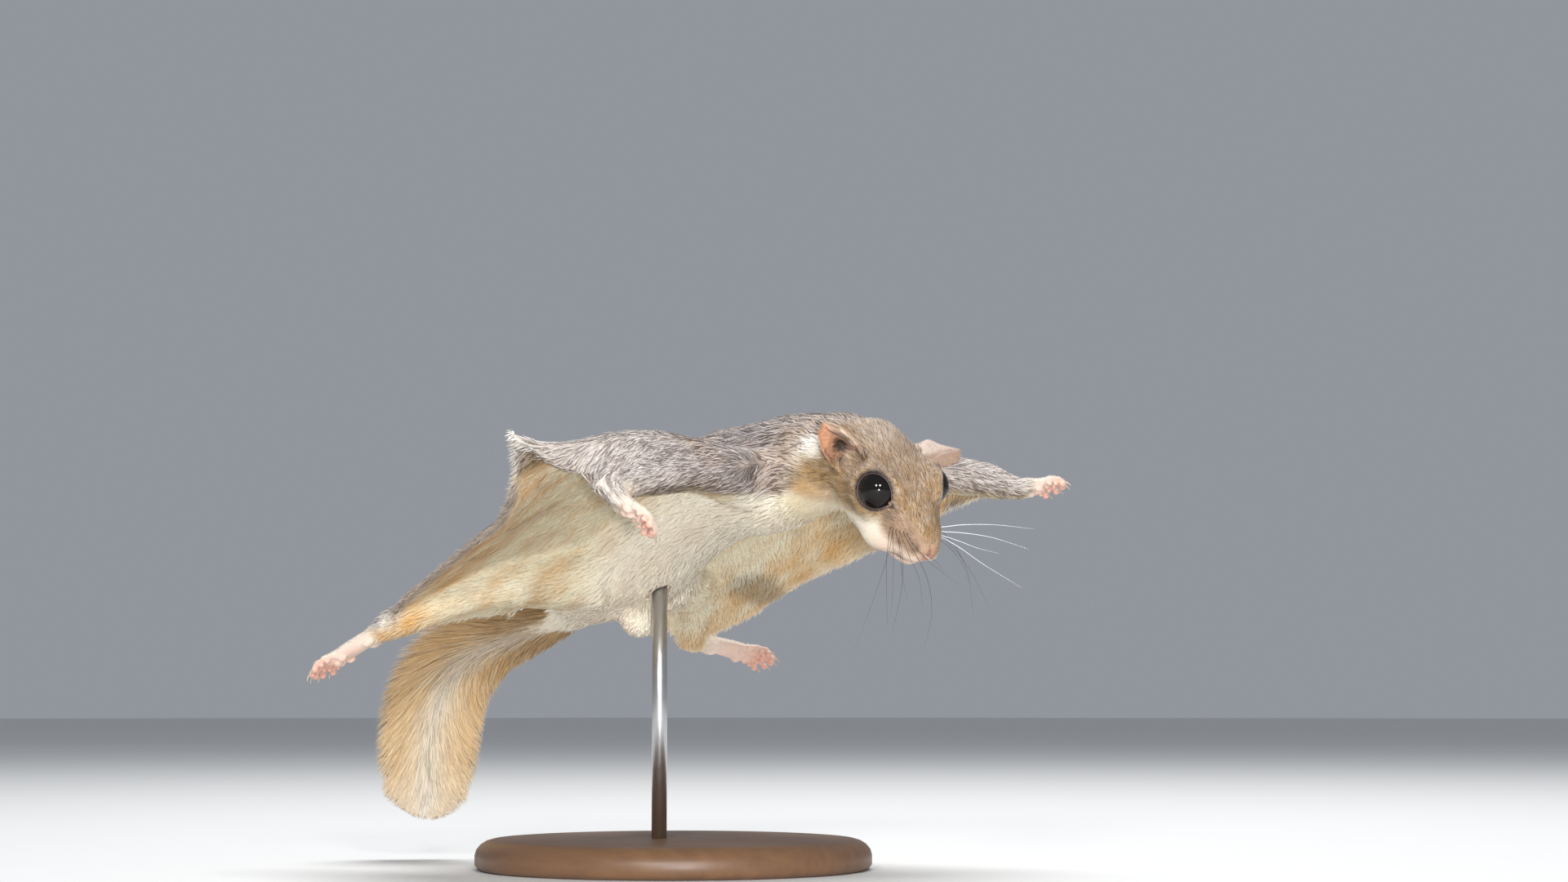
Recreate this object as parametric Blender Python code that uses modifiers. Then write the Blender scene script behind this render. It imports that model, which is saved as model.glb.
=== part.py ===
"""A southern flying squirrel in a glide, life size, held over a plain round stand by one rod.

Metres, +Z up. The animal heads along -Y, so its left side is +X. The origin is the centre of
the stand's underside. The flesh is modelled whole and then parted by thin plane cuts.
"""
import math
import random

import bmesh
import bpy
import numpy as np
from mathutils import Matrix, Vector

MM = 0.001
PART_GAP = 0.3 * MM
FAR = 400.0 * MM


def mm(*values):
    """A place or a set of lengths given in millimetres."""
    return Vector(values) * MM


# Body line: centre, half width, height above and below the centre, all in millimetres.
TRUNK_ROWS = [
    (-3.0, -63.0, 105.0, 12.0, 11.0, 12.0),
    (-2.0, -52.0, 103.0, 14.5, 14.0, 13.5),
    (-1.0, -40.0, 101.0, 17.0, 14.8, 14.5),
    (-2.0, -20.0, 98.5, 17.5, 15.0, 14.0),
    (-2.5, -3.0, 92.0, 18.0, 15.0, 14.0),
    (-2.5, 15.0, 81.0, 18.0, 14.0, 13.5),
    (-3.0, 30.0, 72.5, 13.0, 10.0, 8.5),
    (-3.0, 44.0, 68.0, 6.0, 4.5, 4.5),
]
GROIN = ((0.5, 14.0, 66.0), (6.5, 6.5, 6.0))
NECK_ROWS = [
    (0.0, -73.5, 104.0, 11.0, 10.0, 10.5),
    (-2.0, -65.5, 105.5, 11.5, 10.5, 12.0),
    (-3.0, -57.0, 104.5, 12.5, 11.5, 12.5),
    (-1.5, -45.0, 102.0, 14.5, 13.0, 13.0),
]

# Limbs: bone lengths, the same on both sides, and half thicknesses with the fur on them,
# in millimetres. Each side gives the way that each of its bones points.
BONES = {"upper_arm": 26.0, "forearm": 28.0, "hand": 16.0, "thigh": 28.5, "shin": 32.0, "foot": 28.0}
ARM_CHAIN = (("shoulder", "elbow", "wrist", "fingers"), ("upper_arm", "forearm", "hand"))
LEG_CHAIN = (("hip", "knee", "ankle", "toes"), ("thigh", "shin", "foot"))
ARM_RADII = (9.0, 6.8, 5.4, 4.2, 3.3, 2.9)
LEG_RADII = (13.0, 9.5, 6.6, 4.8, 4.3, 3.6)
LIMB_RUN_OUT = 2.5 * MM
RINGS_PER_JOINT = 6
LIMB_SIDES = 14
TRUNK_RINGS, TRUNK_SIDES = 46, 32
NECK_RINGS, NECK_SIDES = 20, 28

# The membrane's leading and trailing edges start at the trunk, its spur is measured from the
# wrist, and its outer edge runs from the spur's tip to the ankle.
RIGHT = {
    "shoulder": (-11.5, -43.0, 100.0),
    "upper_arm": (-0.98, -0.20, -0.01),
    "forearm": (-0.98, -0.05, -0.20),
    "hand": (0.56, -0.50, -0.66),
    "palm_faces": (-0.73, 0.35, -0.60),
    "hip": (-13.0, 15.0, 79.5),
    "thigh": (-0.88, 0.43, -0.18),
    "shin": (-0.52, 0.78, -0.34),
    "foot": (-0.36, 0.80, -0.48),
    "sole_faces": (0.17, -0.56, -0.80),
    "leading": [(-3, -60, 96), (-21, -60, 94), (-42, -55, 94)],
    "spur": [(0, -2, 0), (-7, 3, 1), (-14, 7, 5), (-21, 12, 15)],
    "outer": [(-79.8, -32, 97.6), (-72, -16.5, 87), (-65.8, 4.5, 81.6), (-60.4, 27, 75.2), (-58.6, 43, 68.8)],
    "trailing": [(-4, 42, 68), (-20, 42, 67), (-37, 47, 65)],
    "billow": 16.0,
    "billow_peak": 0.42,
    "ear_axis": (-0.42, -0.70, 0.58),
    "ear_opens": (0.72, -0.68, -0.10),
}
LEFT = {
    "shoulder": (16.0, -42.0, 101.0),
    "upper_arm": (0.89, -0.46, 0.07),
    "forearm": (0.96, -0.26, -0.09),
    "hand": (0.97, -0.21, 0.09),
    "palm_faces": (0.13, -0.36, -0.90),
    "hip": (8.0, 17.5, 79.5),
    "thigh": (0.89, 0.43, -0.17),
    "shin": (0.61, 0.68, -0.41),
    "foot": (0.93, -0.29, -0.23),
    "sole_faces": (-0.37, -0.38, -0.85),
    "leading": [(4, -60, 96), (21, -62, 96), (39, -62, 98)],
    "spur": [(0, -2, 0), (4, 3, 0), (7, 10, 0), (7, 17, -1)],
    "outer": [(69, -28, 93), (64, -9, 84), (61, 9, 78), (61, 23, 73), (60, 37, 67)],
    "trailing": [(-3, 42, 68), (16, 43, 67), (36, 47, 64)],
    "billow": 13.0,
    "billow_peak": 0.8,
    "ear_axis": (0.05, 0.96, 0.20),
    "ear_opens": (0.15, 0.0, -1.0),
}
MEMBRANE_THICK = 3.2 * MM
MEMBRANE_RIM = 2.2 * MM
MEMBRANE_THINS = 3
MEMBRANE_ROOT_RISE = 2.0
MEMBRANE_ACROSS, MEMBRANE_ALONG = 26, 34
BILLOW_OUTWARD = 1.4
BILLOW_FULLNESS = (0.9, 0.8)

# Head: its own frame has a forward, b to the left and c up, from the point between the ears.
HEAD_AT = mm(-0.8, -76.6, 100.5)
HEAD_FORWARD = Vector((-0.035, -0.74, -0.67))
HEAD_LEFT = Vector((0.983, -0.06, 0.17))
HEAD_ROWS = [
    (-10.0, 9.5, 9.5, 10.0, 0.5),
    (-4.0, 11.6, 9.6, 12.0, 0.3),
    (3.0, 11.8, 9.4, 13.5, 0.0),
    (9.0, 10.8, 9.0, 13.6, -0.4),
    (14.0, 9.2, 8.0, 11.8, -1.2),
    (19.0, 7.2, 6.0, 8.8, -2.2),
    (23.5, 5.4, 4.4, 6.0, -3.2),
    (26.5, 3.6, 2.8, 3.9, -4.0),
    (28.3, 1.6, 1.4, 1.8, -4.3),
]
HEAD_RINGS, HEAD_SIDES = 40, 32
HEAD_SQUARENESS = 2.15
CHEEK = ((13.0, 5.0, -6.5), (8.0, 4.6, 6.0))
WHISKER_PAD = ((22.5, 2.7, -5.8), (5.0, 2.9, 3.2))
CHIN = ((18.0, 0.0, -10.4), (6.0, 3.2, 2.4))
BROW = ((11.0, 5.4, 5.0), (7.0, 4.4, 3.2))
NOSE = ((27.6, 0.0, -3.8), (1.6, 1.8, 1.5))
NOSTRIL_AT = (28.7, 1.0, -4.2)
NOSTRIL_RADIUS = 0.55 * MM
NOSTRIL_DEPTH = 1.6 * MM
NOSTRIL_TURN = 0.5
MOUTH_FRONT = (27.0, -7.6)
MOUTH_CORNER = (16.5, -10.6)
MOUTH_GAP = 0.5 * MM
MOUTH_DEPTH = 0.8 * MM
MOUTH_REACH = 12.0
MOUTH_PAST_LIPS = 6.0
EYE_RADIUS = 5.0 * MM
EYE_CENTRE = (10.2, 7.8, 2.8)
EYE_LOOKS = (0.45, 0.86, 0.22)
LID_OUT = 2.5 * MM
LID_RING = 4.5 * MM
LID_THICK = 0.8 * MM
LID_SEGMENTS = (28, 10)
EYE_SIDES = 14
SOCKET_SIDES = 16
NOSTRIL_SIDES = 8
EAR_BASE = (0.0, 9.0, 4.0)
EAR_LENGTH = 13.0 * MM
EAR_HALF_WIDTH = 5.6 * MM
EAR_DEPTH = 4.2 * MM
EAR_AT_BASE = 0.55
EAR_WIDENS = 0.75
EAR_NARROWS = 0.25
EAR_ROUND_TIP = 5
EAR_LEAST = 0.12
EAR_FLATTENS = 0.75
EAR_THICK = 0.9 * MM
EAR_ROWS = 8
EAR_COLUMNS = 8

# Tail: centre line, half width to the tips of the hair, half thickness, in millimetres.
TAIL_ROWS = [
    (-2.9, 34.5, 70.6, 6.0, 4.8),
    (-5.0, 49.0, 66.0, 9.0, 4.5),
    (-9.0, 62.0, 62.0, 12.6, 4.2),
    (-13.2, 73.7, 57.5, 15.0, 4.0),
    (-16.0, 82.5, 46.0, 15.4, 4.0),
    (-17.0, 84.5, 33.5, 15.2, 4.0),
    (-18.0, 84.0, 21.5, 13.6, 3.6),
    (-19.0, 83.5, 13.0, 9.8, 2.4),
    (-19.5, 83.5, 10.5, 3.0, 1.2),
]
TAIL_ACROSS_BASE = Vector((0.86, -0.05, -0.5))
TAIL_ACROSS_TIP = Vector((0.78, -0.62, 0.0))
TAIL_CORE_WIDTHS = (1.0, 0.6, 0.46, 0.46, 0.44, 0.40, 0.28, 0.08)
TAIL_CORE_THICKS = (1.0, 0.9, 0.8, 0.8, 0.8, 0.75, 0.55, 0.3)

TAIL_RINGS, TAIL_SIDES = 18, 10

# Locks of the tail: they leave the core on both sides, lie back along it and end at the
# outline. Places run from 0 at the tail's root to 1 at its tip.
LOCK_FIRST = 0.14
LOCK_STEPS = 15
LOCK_LAG = 0.17
LOCK_ROOT = 0.12
LOCK_HALF_WIDTHS = (1.7, 2.05, 1.7, 0.45)
LOCK_HALF_THICKS = (0.9, 0.8, 0.5, 0.3)
LOCK_LIFT = 1.3 * MM
LOCK_RUN = 1.25
LOCK_SPREAD = 0.85
LOCK_SIDES = 4
LOCK_SINKS = 0.5
LOCK_VARIES = 0.07
LOCK_SEED = 5

# Stand.
BASE_RADIUS = 52.0 * MM
BASE_HEIGHT = 8.0 * MM
BASE_BEVEL = 2.0 * MM
BASE_SIDES = 36
BASE_BEVEL_STEPS = 2
ROD_RADIUS = 2.0 * MM
ROD_AT = (-2.5 * MM, 3.0 * MM)
ROD_TOP = 84.0 * MM
ROD_FOOT = 3.0 * MM
ROD_SIDES = 16

# Paws, in millimetres: share of the palm, width, half thickness, digits and their shape. The
# palm's rows are shares of its length, its width and its half thickness above and below.
PALM_ROOT_ROW = (-2.5, 0, 0, 2.5, 2.4, 2.4)
PALM_ROWS = ((0.3, 0.36, 1.0, 1.0), (0.75, 0.47, 1.0, 0.9), (1.02, 0.42, 0.7, 0.7))
PALM_RINGS, PALM_SIDES = 14, 16
DIGIT_ROOT = (0.86, 0.38)
DIGIT_RINGS, DIGIT_SIDES = 12, 10
DIGIT_BENDS = ((0.0, 0.0), (0.45, 0.35), (0.8, 0.1))
DIGIT_TAPER = (1.0, 0.9, 0.85, 0.8)
TIP_PAD_AT = (-0.4, 0.0, -0.35)
TIP_PAD_SIZE = 1.05
PAD_RADIUS = 1.25
PAD_AHEAD = 0.3
PAD_DROP = 0.75
PAD_SIDES = 10
HEEL_PAD = (1.9, 1.3, 1.1)
HEEL_ASIDE = 0.2
CLAW_RINGS, CLAW_SIDES = 5, 6
CLAW_ROWS = ((-0.6, 0.15, 0.42), (0.7, 0.1, 0.36), (1.5, -0.4, 0.24), (2.0, -1.1, 0.08))
HAND = {
    "palm": 0.50, "width": 7.8, "thick": 1.9, "digits": 4, "digit": 1.05, "fan": 0.20,
    "outer_short": 0.22, "curl": 1.0, "heel": 0.35, "faces": 240,
}
FOOT = {
    "palm": 0.66, "width": 7.8, "thick": 2.2, "digits": 5, "digit": 1.05, "fan": 0.22,
    "outer_short": 0.30, "curl": 0.8, "heel": 0.25, "faces": 270,
}

# Cuts that part the flesh: a place in metres and the way to the part named first.
RIGHT["flank_plane"] = (mm(-16.5, 0, 90), (-1.0, 0.0, 0.0))
RIGHT["arm_plane"] = (mm(-16.5, -33, 95), (0.0, -1.0, 0.0))
RIGHT["leg_plane"] = (mm(-16.5, 0, 85), (-0.76, -0.65, 0.0))
LEFT["flank_plane"] = (mm(13.5, 0, 90), (1.0, 0.0, 0.0))
LEFT["arm_plane"] = (mm(13.5, -33, 95), (-0.36, -0.93, 0.0))
LEFT["leg_plane"] = (mm(13.5, 0, 85), (0.70, -0.71, 0.0))
SIDES = (("right", RIGHT), ("left", LEFT))
TORSO_NECK_PLANE = (mm(-2.5, -54, 103), (0.05, -0.99, 0.11))
NECK_HEAD_PLANE = (mm(0.3, -72, 105.5), (0.0, -0.93, -0.36))
RUMP_PLANE = (mm(-2.5, -2, 88), (0.0, 0.88, -0.47))
TAIL_ROOT_PLANE = (mm(-3, 36.5, 70), (0.0, 0.95, -0.30))
TAIL_PLANE = (mm(-13, 70, 54), (-0.25, 0.58, -0.78))

# Mesh density.
BODY_VOXEL = 0.8 * MM
HEAD_VOXEL = 0.5 * MM
PAW_VOXEL = 0.32 * MM
BODY_FACES = 4200
HEAD_FACES = 2000
BODY_SMOOTHING = 10
FINE_SMOOTHING = 2

COLOURS = {
    "fur_back": (0.36, 0.29, 0.24),
    "fur_belly": (0.78, 0.70, 0.55),
    "fur_tail": (0.62, 0.46, 0.28),
    "skin": (0.75, 0.45, 0.38),
    "eye": (0.01, 0.01, 0.012),
    "wood": (0.16, 0.09, 0.05),
    "steel": (0.55, 0.55, 0.56),
}
FINISHES = {
    "ear": ("skin", 0.6, 0.0),
    "hand": ("skin", 0.6, 0.0),
    "foot": ("skin", 0.6, 0.0),
    "tail": ("fur_tail", 0.9, 0.0),
    "wing": ("fur_belly", 0.9, 0.0),
    "eye": ("eye", 0.05, 0.0),
    "stand_base": ("wood", 0.45, 0.0),
    "stand_rod": ("steel", 0.3, 1.0),
}
FUR_FINISH = ("fur_back", 0.9, 0.0)


def remove_all_objects():
    """Empties the scene."""
    for item in list(bpy.data.objects):
        bpy.data.objects.remove(item, do_unlink=True)


def make_collection(name):
    """A new collection under the scene's own."""
    group = bpy.data.collections.new(name)
    bpy.context.scene.collection.children.link(group)
    return group


def make_object(name, points, faces, group):
    """A mesh object from points in metres and faces of any side count."""
    mesh = bpy.data.meshes.new(name)
    mesh.from_pydata([tuple(p) for p in points], [], [tuple(f) for f in faces])
    mesh.update()
    item = bpy.data.objects.new(name, mesh)
    group.objects.link(item)
    return item


def smooth_rows(rows, count):
    """Rows of numbers read along a smooth curve through the given ones."""
    rows = np.asarray(rows, dtype=float)
    steps = np.linalg.norm(np.diff(rows[:, :3], axis=0), axis=1)
    knots = np.concatenate([[0.0], np.cumsum(np.maximum(steps, 1e-9))])
    slopes = np.gradient(rows, knots, axis=0)
    places = np.linspace(0.0, knots[-1], count)
    spans = np.clip(np.searchsorted(knots, places, side="right") - 1, 0, len(knots) - 2)
    width = (knots[spans + 1] - knots[spans])[:, None]
    t = ((places - knots[spans]) / width[:, 0])[:, None]
    a, b = rows[spans], rows[spans + 1]
    m, n = slopes[spans] * width, slopes[spans + 1] * width
    return (
        (2 * t**3 - 3 * t**2 + 1) * a + (t**3 - 2 * t**2 + t) * m
        + (3 * t**2 - 2 * t**3) * b + (t**3 - t**2) * n
    )


def unit(vectors):
    """Vectors scaled to length one along the last axis."""
    vectors = np.asarray(vectors, dtype=float)
    return vectors / np.maximum(np.linalg.norm(vectors, axis=-1, keepdims=True), 1e-12)


def ring_faces(rings, sides):
    """Faces of a tube, closed by one flat face at each end."""
    faces = []
    for i in range(rings - 1):
        for j in range(sides):
            k = (j + 1) % sides
            faces.append((i * sides + j, i * sides + k, (i + 1) * sides + k, (i + 1) * sides + j))
    faces.append(tuple(reversed(range(sides))))
    faces.append(tuple(range((rings - 1) * sides, rings * sides)))
    return faces


def face_outward(item):
    """Turns all faces of an object outward."""
    mesh = bmesh.new()
    mesh.from_mesh(item.data)
    bmesh.ops.recalc_face_normals(mesh, faces=mesh.faces)
    mesh.to_mesh(item.data)
    mesh.free()
    return item


def tube(name, rows, group, rings=24, sides=24, across=None, power=2.0):
    """A closed tube along rows of centre, half width, height above and height below.

    across gives the sideways direction, one vector or one for each end, and power the
    squareness of the section.
    """
    rows = smooth_rows(rows, rings)
    centres = rows[:, :3]
    along = unit(np.gradient(centres, axis=0))
    side = np.array([1.0, 0.0, 0.0]) if across is None else np.asarray(across, dtype=float)
    if side.ndim == 2:
        share = np.linspace(0.0, 1.0, rings)[:, None]
        side = side[0] * (1.0 - share) + side[1] * share
    side = unit(side - along * np.sum(side * along, axis=1, keepdims=True))
    above = unit(np.cross(side, along))
    above *= np.where(np.sum(above[:, 2]) < 0.0, -1.0, 1.0)
    turn = np.linspace(0.0, 2.0 * math.pi, sides, endpoint=False)
    c = np.sign(np.cos(turn)) * np.abs(np.cos(turn)) ** (2.0 / power)
    s = np.sign(np.sin(turn)) * np.abs(np.sin(turn)) ** (2.0 / power)
    points = []
    for i in range(rings):
        height = np.where(s > 0.0, rows[i, 4], rows[i, 5])
        points.extend(centres[i] + np.outer(c * rows[i, 3], side[i]) + np.outer(s * height, above[i]))
    return face_outward(make_object(name, points, ring_faces(rings, sides), group))


def limb(name, joints, radii, group):
    """A tapering round tube through joints in metres with one radius for each."""
    rows = [(*p, r, r, r) for p, r in zip(joints, radii)]
    along = np.asarray(joints[-1]) - np.asarray(joints[0])
    hint = np.cross(along, (0.0, 0.0, 1.0))
    rings = RINGS_PER_JOINT * len(joints)
    return tube(name, rows, group, rings=rings, sides=LIMB_SIDES, across=np.array([hint, hint]))


def ball(name, centre, radii, group, turn=None, sides=20):
    """An ellipsoid from a sphere primitive."""
    mesh = bmesh.new()
    bmesh.ops.create_uvsphere(mesh, u_segments=sides, v_segments=sides // 2 + 2, radius=1.0)
    place = Matrix.Translation(centre) @ (turn.to_4x4() if turn else Matrix.Identity(4))
    mesh.transform(place @ Matrix.Diagonal((*radii, 1.0)))
    data = bpy.data.meshes.new(name)
    mesh.to_mesh(data)
    mesh.free()
    item = bpy.data.objects.new(name, data)
    group.objects.link(item)
    return item


def to_mesh_object(item, name, group):
    """The object as its modifiers leave it, as a new object with none."""
    bpy.context.view_layer.update()
    view = item.evaluated_get(bpy.context.evaluated_depsgraph_get())
    data = bpy.data.meshes.new_from_object(view)
    data.transform(item.matrix_world)
    bpy.data.objects.remove(item, do_unlink=True)
    result = bpy.data.objects.new(name, data)
    group.objects.link(result)
    return result


def join_meshes(name, items, group):
    """One object with the points and faces of all the given ones, which are removed."""
    mesh = bmesh.new()
    for item in items:
        mesh.from_mesh(item.data)
        bpy.data.objects.remove(item, do_unlink=True)
    data = bpy.data.meshes.new(name)
    mesh.to_mesh(data)
    mesh.free()
    result = bpy.data.objects.new(name, data)
    group.objects.link(result)
    return result


def fuse(name, items, group, voxel, smoothing, face_count=None):
    """Closed overlapping meshes turned into one even skin, thinned to face_count triangles."""
    whole = join_meshes(name, items, group)
    remesh = whole.modifiers.new("skin", "REMESH")
    remesh.mode = "VOXEL"
    remesh.voxel_size = voxel
    soften = whole.modifiers.new("soften", "SMOOTH")
    soften.factor = 0.5
    soften.iterations = smoothing
    whole = to_mesh_object(whole, name, group)
    if face_count is None:
        return whole
    thin = whole.modifiers.new("thin", "DECIMATE")
    thin.ratio = min(1.0, face_count / (2.0 * len(whole.data.polygons)))
    whole = to_mesh_object(whole, name, group)
    return keep_largest(whole)


def in_triangles(item):
    """Turns an object's faces into triangles."""
    mesh = bmesh.new()
    mesh.from_mesh(item.data)
    bmesh.ops.triangulate(mesh, faces=mesh.faces)
    mesh.to_mesh(item.data)
    mesh.free()


def keep_largest(item):
    """Leaves only the largest closed surface of an object, in triangles."""
    in_triangles(item)
    mesh = bmesh.new()
    mesh.from_mesh(item.data)
    left = set(mesh.faces)
    islands = []
    while left:
        seed = left.pop()
        island = {seed}
        front = [seed]
        while front:
            face = front.pop()
            for edge in face.edges:
                for other in edge.link_faces:
                    if other in left:
                        left.remove(other)
                        island.add(other)
                        front.append(other)
        islands.append(island)
    islands.sort(key=island_volume, reverse=True)
    spare = [face for island in islands[1:] for face in island]
    bmesh.ops.delete(mesh, geom=spare, context="FACES")
    mesh.to_mesh(item.data)
    mesh.free()
    return item


def island_volume(island):
    """Size of the space that a set of faces encloses, larger for more."""
    total = 0.0
    for face in island:
        a, b, c = (v.co for v in face.verts)
        total += a.dot(b.cross(c)) / 6.0
    return abs(total)


def boolean(item, tool, operation):
    """The object cut, joined or limited by a tool object, applied."""
    step = item.modifiers.new(operation.lower(), "BOOLEAN")
    step.operation = operation
    step.solver = "EXACT"
    step.object = tool
    group = item.users_collection[0]
    return to_mesh_object(item, item.name, group)


def half_space(at, normal, inset, group):
    """A large box that fills the side of a plane that its normal points to."""
    normal = Vector(normal).normalized()
    mesh = bmesh.new()
    bmesh.ops.create_cube(mesh, size=FAR)
    mesh.transform(Matrix.Translation((0.0, 0.0, FAR / 2.0 + inset)))
    turn = Vector((0.0, 0.0, 1.0)).rotation_difference(normal).to_matrix().to_4x4()
    mesh.transform(Matrix.Translation(at) @ turn)
    data = bpy.data.meshes.new("half")
    mesh.to_mesh(data)
    mesh.free()
    item = bpy.data.objects.new("half", data)
    item.hide_render = True
    item.display_type = "WIRE"
    group.objects.link(item)
    return item


def split(item, at, normal, ahead_name, behind_name, cutters):
    """Parts an object at a plane into two, half the gap from it on each side.

    A name of None drops that side.
    """
    group = item.users_collection[0]
    results = []
    for name, way in ((ahead_name, 1.0), (behind_name, -1.0)):
        if name is None:
            results.append(None)
            continue
        copy = bpy.data.objects.new(name, item.data.copy())
        group.objects.link(copy)
        piece = combine(copy, half_space(at, Vector(normal) * way, PART_GAP / 2.0, cutters), "INTERSECT")
        piece.name = name
        results.append(keep_largest(piece))
    bpy.data.objects.remove(item, do_unlink=True)
    return results


def wing_grid(side, inner, across=MEMBRANE_ACROSS, along=MEMBRANE_ALONG):
    """Middle surface of one gliding membrane as a grid of points in metres.

    The four edges are the trunk's line, the leading edge with its spur, the outer edge and
    the trailing edge. The air under the membrane lifts it between them.
    """
    u = np.linspace(0.0, 1.0, across)[:, None, None]
    v = np.linspace(0.0, 1.0, along)[None, :, None]
    spur = [tuple(Vector(side["wrist"]) + Vector(place)) for place in side["spur"]]
    leading = smooth_rows(side["leading"] + spur, across)[:, None, :]
    trailing = smooth_rows(side["trailing"] + [side["ankle"]], across)[:, None, :]
    outer = smooth_rows([spur[-1], *side["outer"], side["ankle"]], along)[None, :, :]
    inner = smooth_rows(inner, along)[None, :, :]
    ruled = (1 - v) * leading + v * trailing + (1 - u) * inner + u * outer
    corners = (
        (1 - u) * (1 - v) * leading[:1] + u * (1 - v) * leading[-1:]
        + (1 - u) * v * trailing[:1] + u * v * trailing[-1:]
    )
    lift = np.sin(math.pi * u**BILLOW_OUTWARD) ** BILLOW_FULLNESS[0]
    lift = lift * np.sin(math.pi * v ** side["billow_peak"]) ** BILLOW_FULLNESS[1]
    grid = ruled - corners
    grid[:, :, 2] += side["billow"] * lift[:, :, 0]
    return grid * MM


def membrane(name, grid, group):
    """A closed sheet about a grid of points, thinner towards its outer rim."""
    across, along = grid.shape[:2]
    du = np.gradient(grid, axis=0)
    dv = np.gradient(grid, axis=1)
    normal = unit(np.cross(du, dv))
    normal *= np.where(normal[:, :, 2:3] < 0.0, -1.0, 1.0)
    u = np.linspace(0.0, 1.0, across)[:, None, None]
    half = (MEMBRANE_THICK + (MEMBRANE_RIM - MEMBRANE_THICK) * u**MEMBRANE_THINS) / 2.0
    points = np.concatenate([(grid + normal * half).reshape(-1, 3), (grid - normal * half).reshape(-1, 3)])
    count = across * along
    faces = []
    for i in range(across - 1):
        for j in range(along - 1):
            a, b = i * along + j, i * along + j + 1
            c, d = a + along, b + along
            faces.append((a, b, d, c))
            faces.append((a + count, c + count, d + count, b + count))
    rim = [(0, j) for j in range(along)] + [(i, along - 1) for i in range(1, across)]
    rim += [(across - 1, j) for j in range(along - 2, -1, -1)] + [(i, 0) for i in range(across - 2, 0, -1)]
    for here, after in zip(rim, rim[1:] + rim[:1]):
        a, b = here[0] * along + here[1], after[0] * along + after[1]
        faces.append((a, b, b + count, a + count))
    return face_outward(make_object(name, points, faces, group))


def place_joints(side):
    """Adds the places of a side's joints, in millimetres, from its bones' lengths and ways."""
    for joints, bones in (ARM_CHAIN, LEG_CHAIN):
        for start, bone, end in zip(joints, bones, joints[1:]):
            side[end] = tuple(Vector(side[start]) + Vector(side[bone]).normalized() * BONES[bone])


def limb_chain(side, names, run_out):
    """Joint places of a limb in metres with middles between them.

    The last name gives the way the limb's end runs on for a short length.
    """
    joints = [Vector(side[n]) * MM for n in names]
    chain = [joints[0]]
    for a, b in zip(joints[:-1], joints[1:-1]):
        chain += [(a + b) / 2.0, b]
    chain.append(joints[-2] + (joints[-1] - joints[-2]).normalized() * run_out)
    return chain


def head_frame():
    """Matrix from the head's own axes to the world."""
    forward = HEAD_FORWARD.normalized()
    left = (HEAD_LEFT - forward * HEAD_LEFT.dot(forward)).normalized()
    up = forward.cross(left)
    turn = Matrix((forward, left, up)).transposed()
    return Matrix.Translation(HEAD_AT) @ turn.to_4x4()


def head_loft(name, group):
    """The skull and muzzle as one lofted form."""
    frame = head_frame()
    rows = []
    for a, half_width, above, below, rise in HEAD_ROWS:
        rows.append((*(frame @ mm(a, 0.0, rise)), half_width * MM, above * MM, below * MM))
    left = frame.to_3x3() @ Vector((0.0, 1.0, 0.0))
    across = np.array([left, left])
    return tube(name, rows, group, HEAD_RINGS, HEAD_SIDES, across, HEAD_SQUARENESS)


def body_sources(group):
    """The closed overlapping forms that make the flesh."""
    items = front_sources(group)
    trunk = [tuple(x * MM for x in row) for row in TRUNK_ROWS]
    items.append(tube("trunk", trunk, group, TRUNK_RINGS, TRUNK_SIDES))
    items.append(ball("groin", mm(*GROIN[0]), mm(*GROIN[1]), group))
    line = [(x, y, z + MEMBRANE_ROOT_RISE) for x, y, z, *_ in TRUNK_ROWS[1:]]
    for label, side in SIDES:
        arm = limb_chain(side, ARM_CHAIN[0], LIMB_RUN_OUT)
        leg = limb_chain(side, LEG_CHAIN[0], LIMB_RUN_OUT)
        items.append(limb("arm_" + label, arm, [r * MM for r in ARM_RADII], group))
        items.append(limb("leg_" + label, leg, [r * MM for r in LEG_RADII], group))
        items.append(membrane("wing_" + label, wing_grid(side, line), group))
    return items


def front_sources(group):
    """The forms of the head and neck that the flesh and the finer head share."""
    neck = [tuple(x * MM for x in row) for row in NECK_ROWS]
    items = [tube("nape", neck, group, NECK_RINGS, NECK_SIDES), head_loft("skull", group)]
    for hand in (1.0, -1.0):
        for centre, radii in (CHEEK, WHISKER_PAD, BROW):
            items.append(head_ball(centre, radii, hand, group))
    for centre, radii in (CHIN, NOSE):
        items.append(head_ball(centre, radii, 1.0, group))
    return items


def head_ball(centre, radii, hand, group):
    """An ellipsoid set in the head's own frame, in millimetres, hand +1 left or -1 right."""
    frame = head_frame()
    a, b, c = centre
    return ball("form", frame @ mm(a, b * hand, c), mm(*radii), group, frame.to_3x3())


def eye_place(hand):
    """Centre of an eyeball and the way it looks, in the world."""
    frame = head_frame()
    a, b, c = EYE_CENTRE
    looks = Vector((EYE_LOOKS[0], EYE_LOOKS[1] * hand, EYE_LOOKS[2])).normalized()
    return frame @ mm(a, b * hand, c), frame.to_3x3() @ looks


def lid(hand, group):
    """The swollen ring of lids about an eye."""
    centre, looks = eye_place(hand)
    bpy.ops.mesh.primitive_torus_add(
        major_segments=LID_SEGMENTS[0], minor_segments=LID_SEGMENTS[1],
        major_radius=LID_RING, minor_radius=LID_THICK,
    )
    item = bpy.context.object
    turn = Vector((0.0, 0.0, 1.0)).rotation_difference(looks)
    item.data.transform(Matrix.Translation(centre + looks * LID_OUT) @ turn.to_matrix().to_4x4())
    return item


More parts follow.
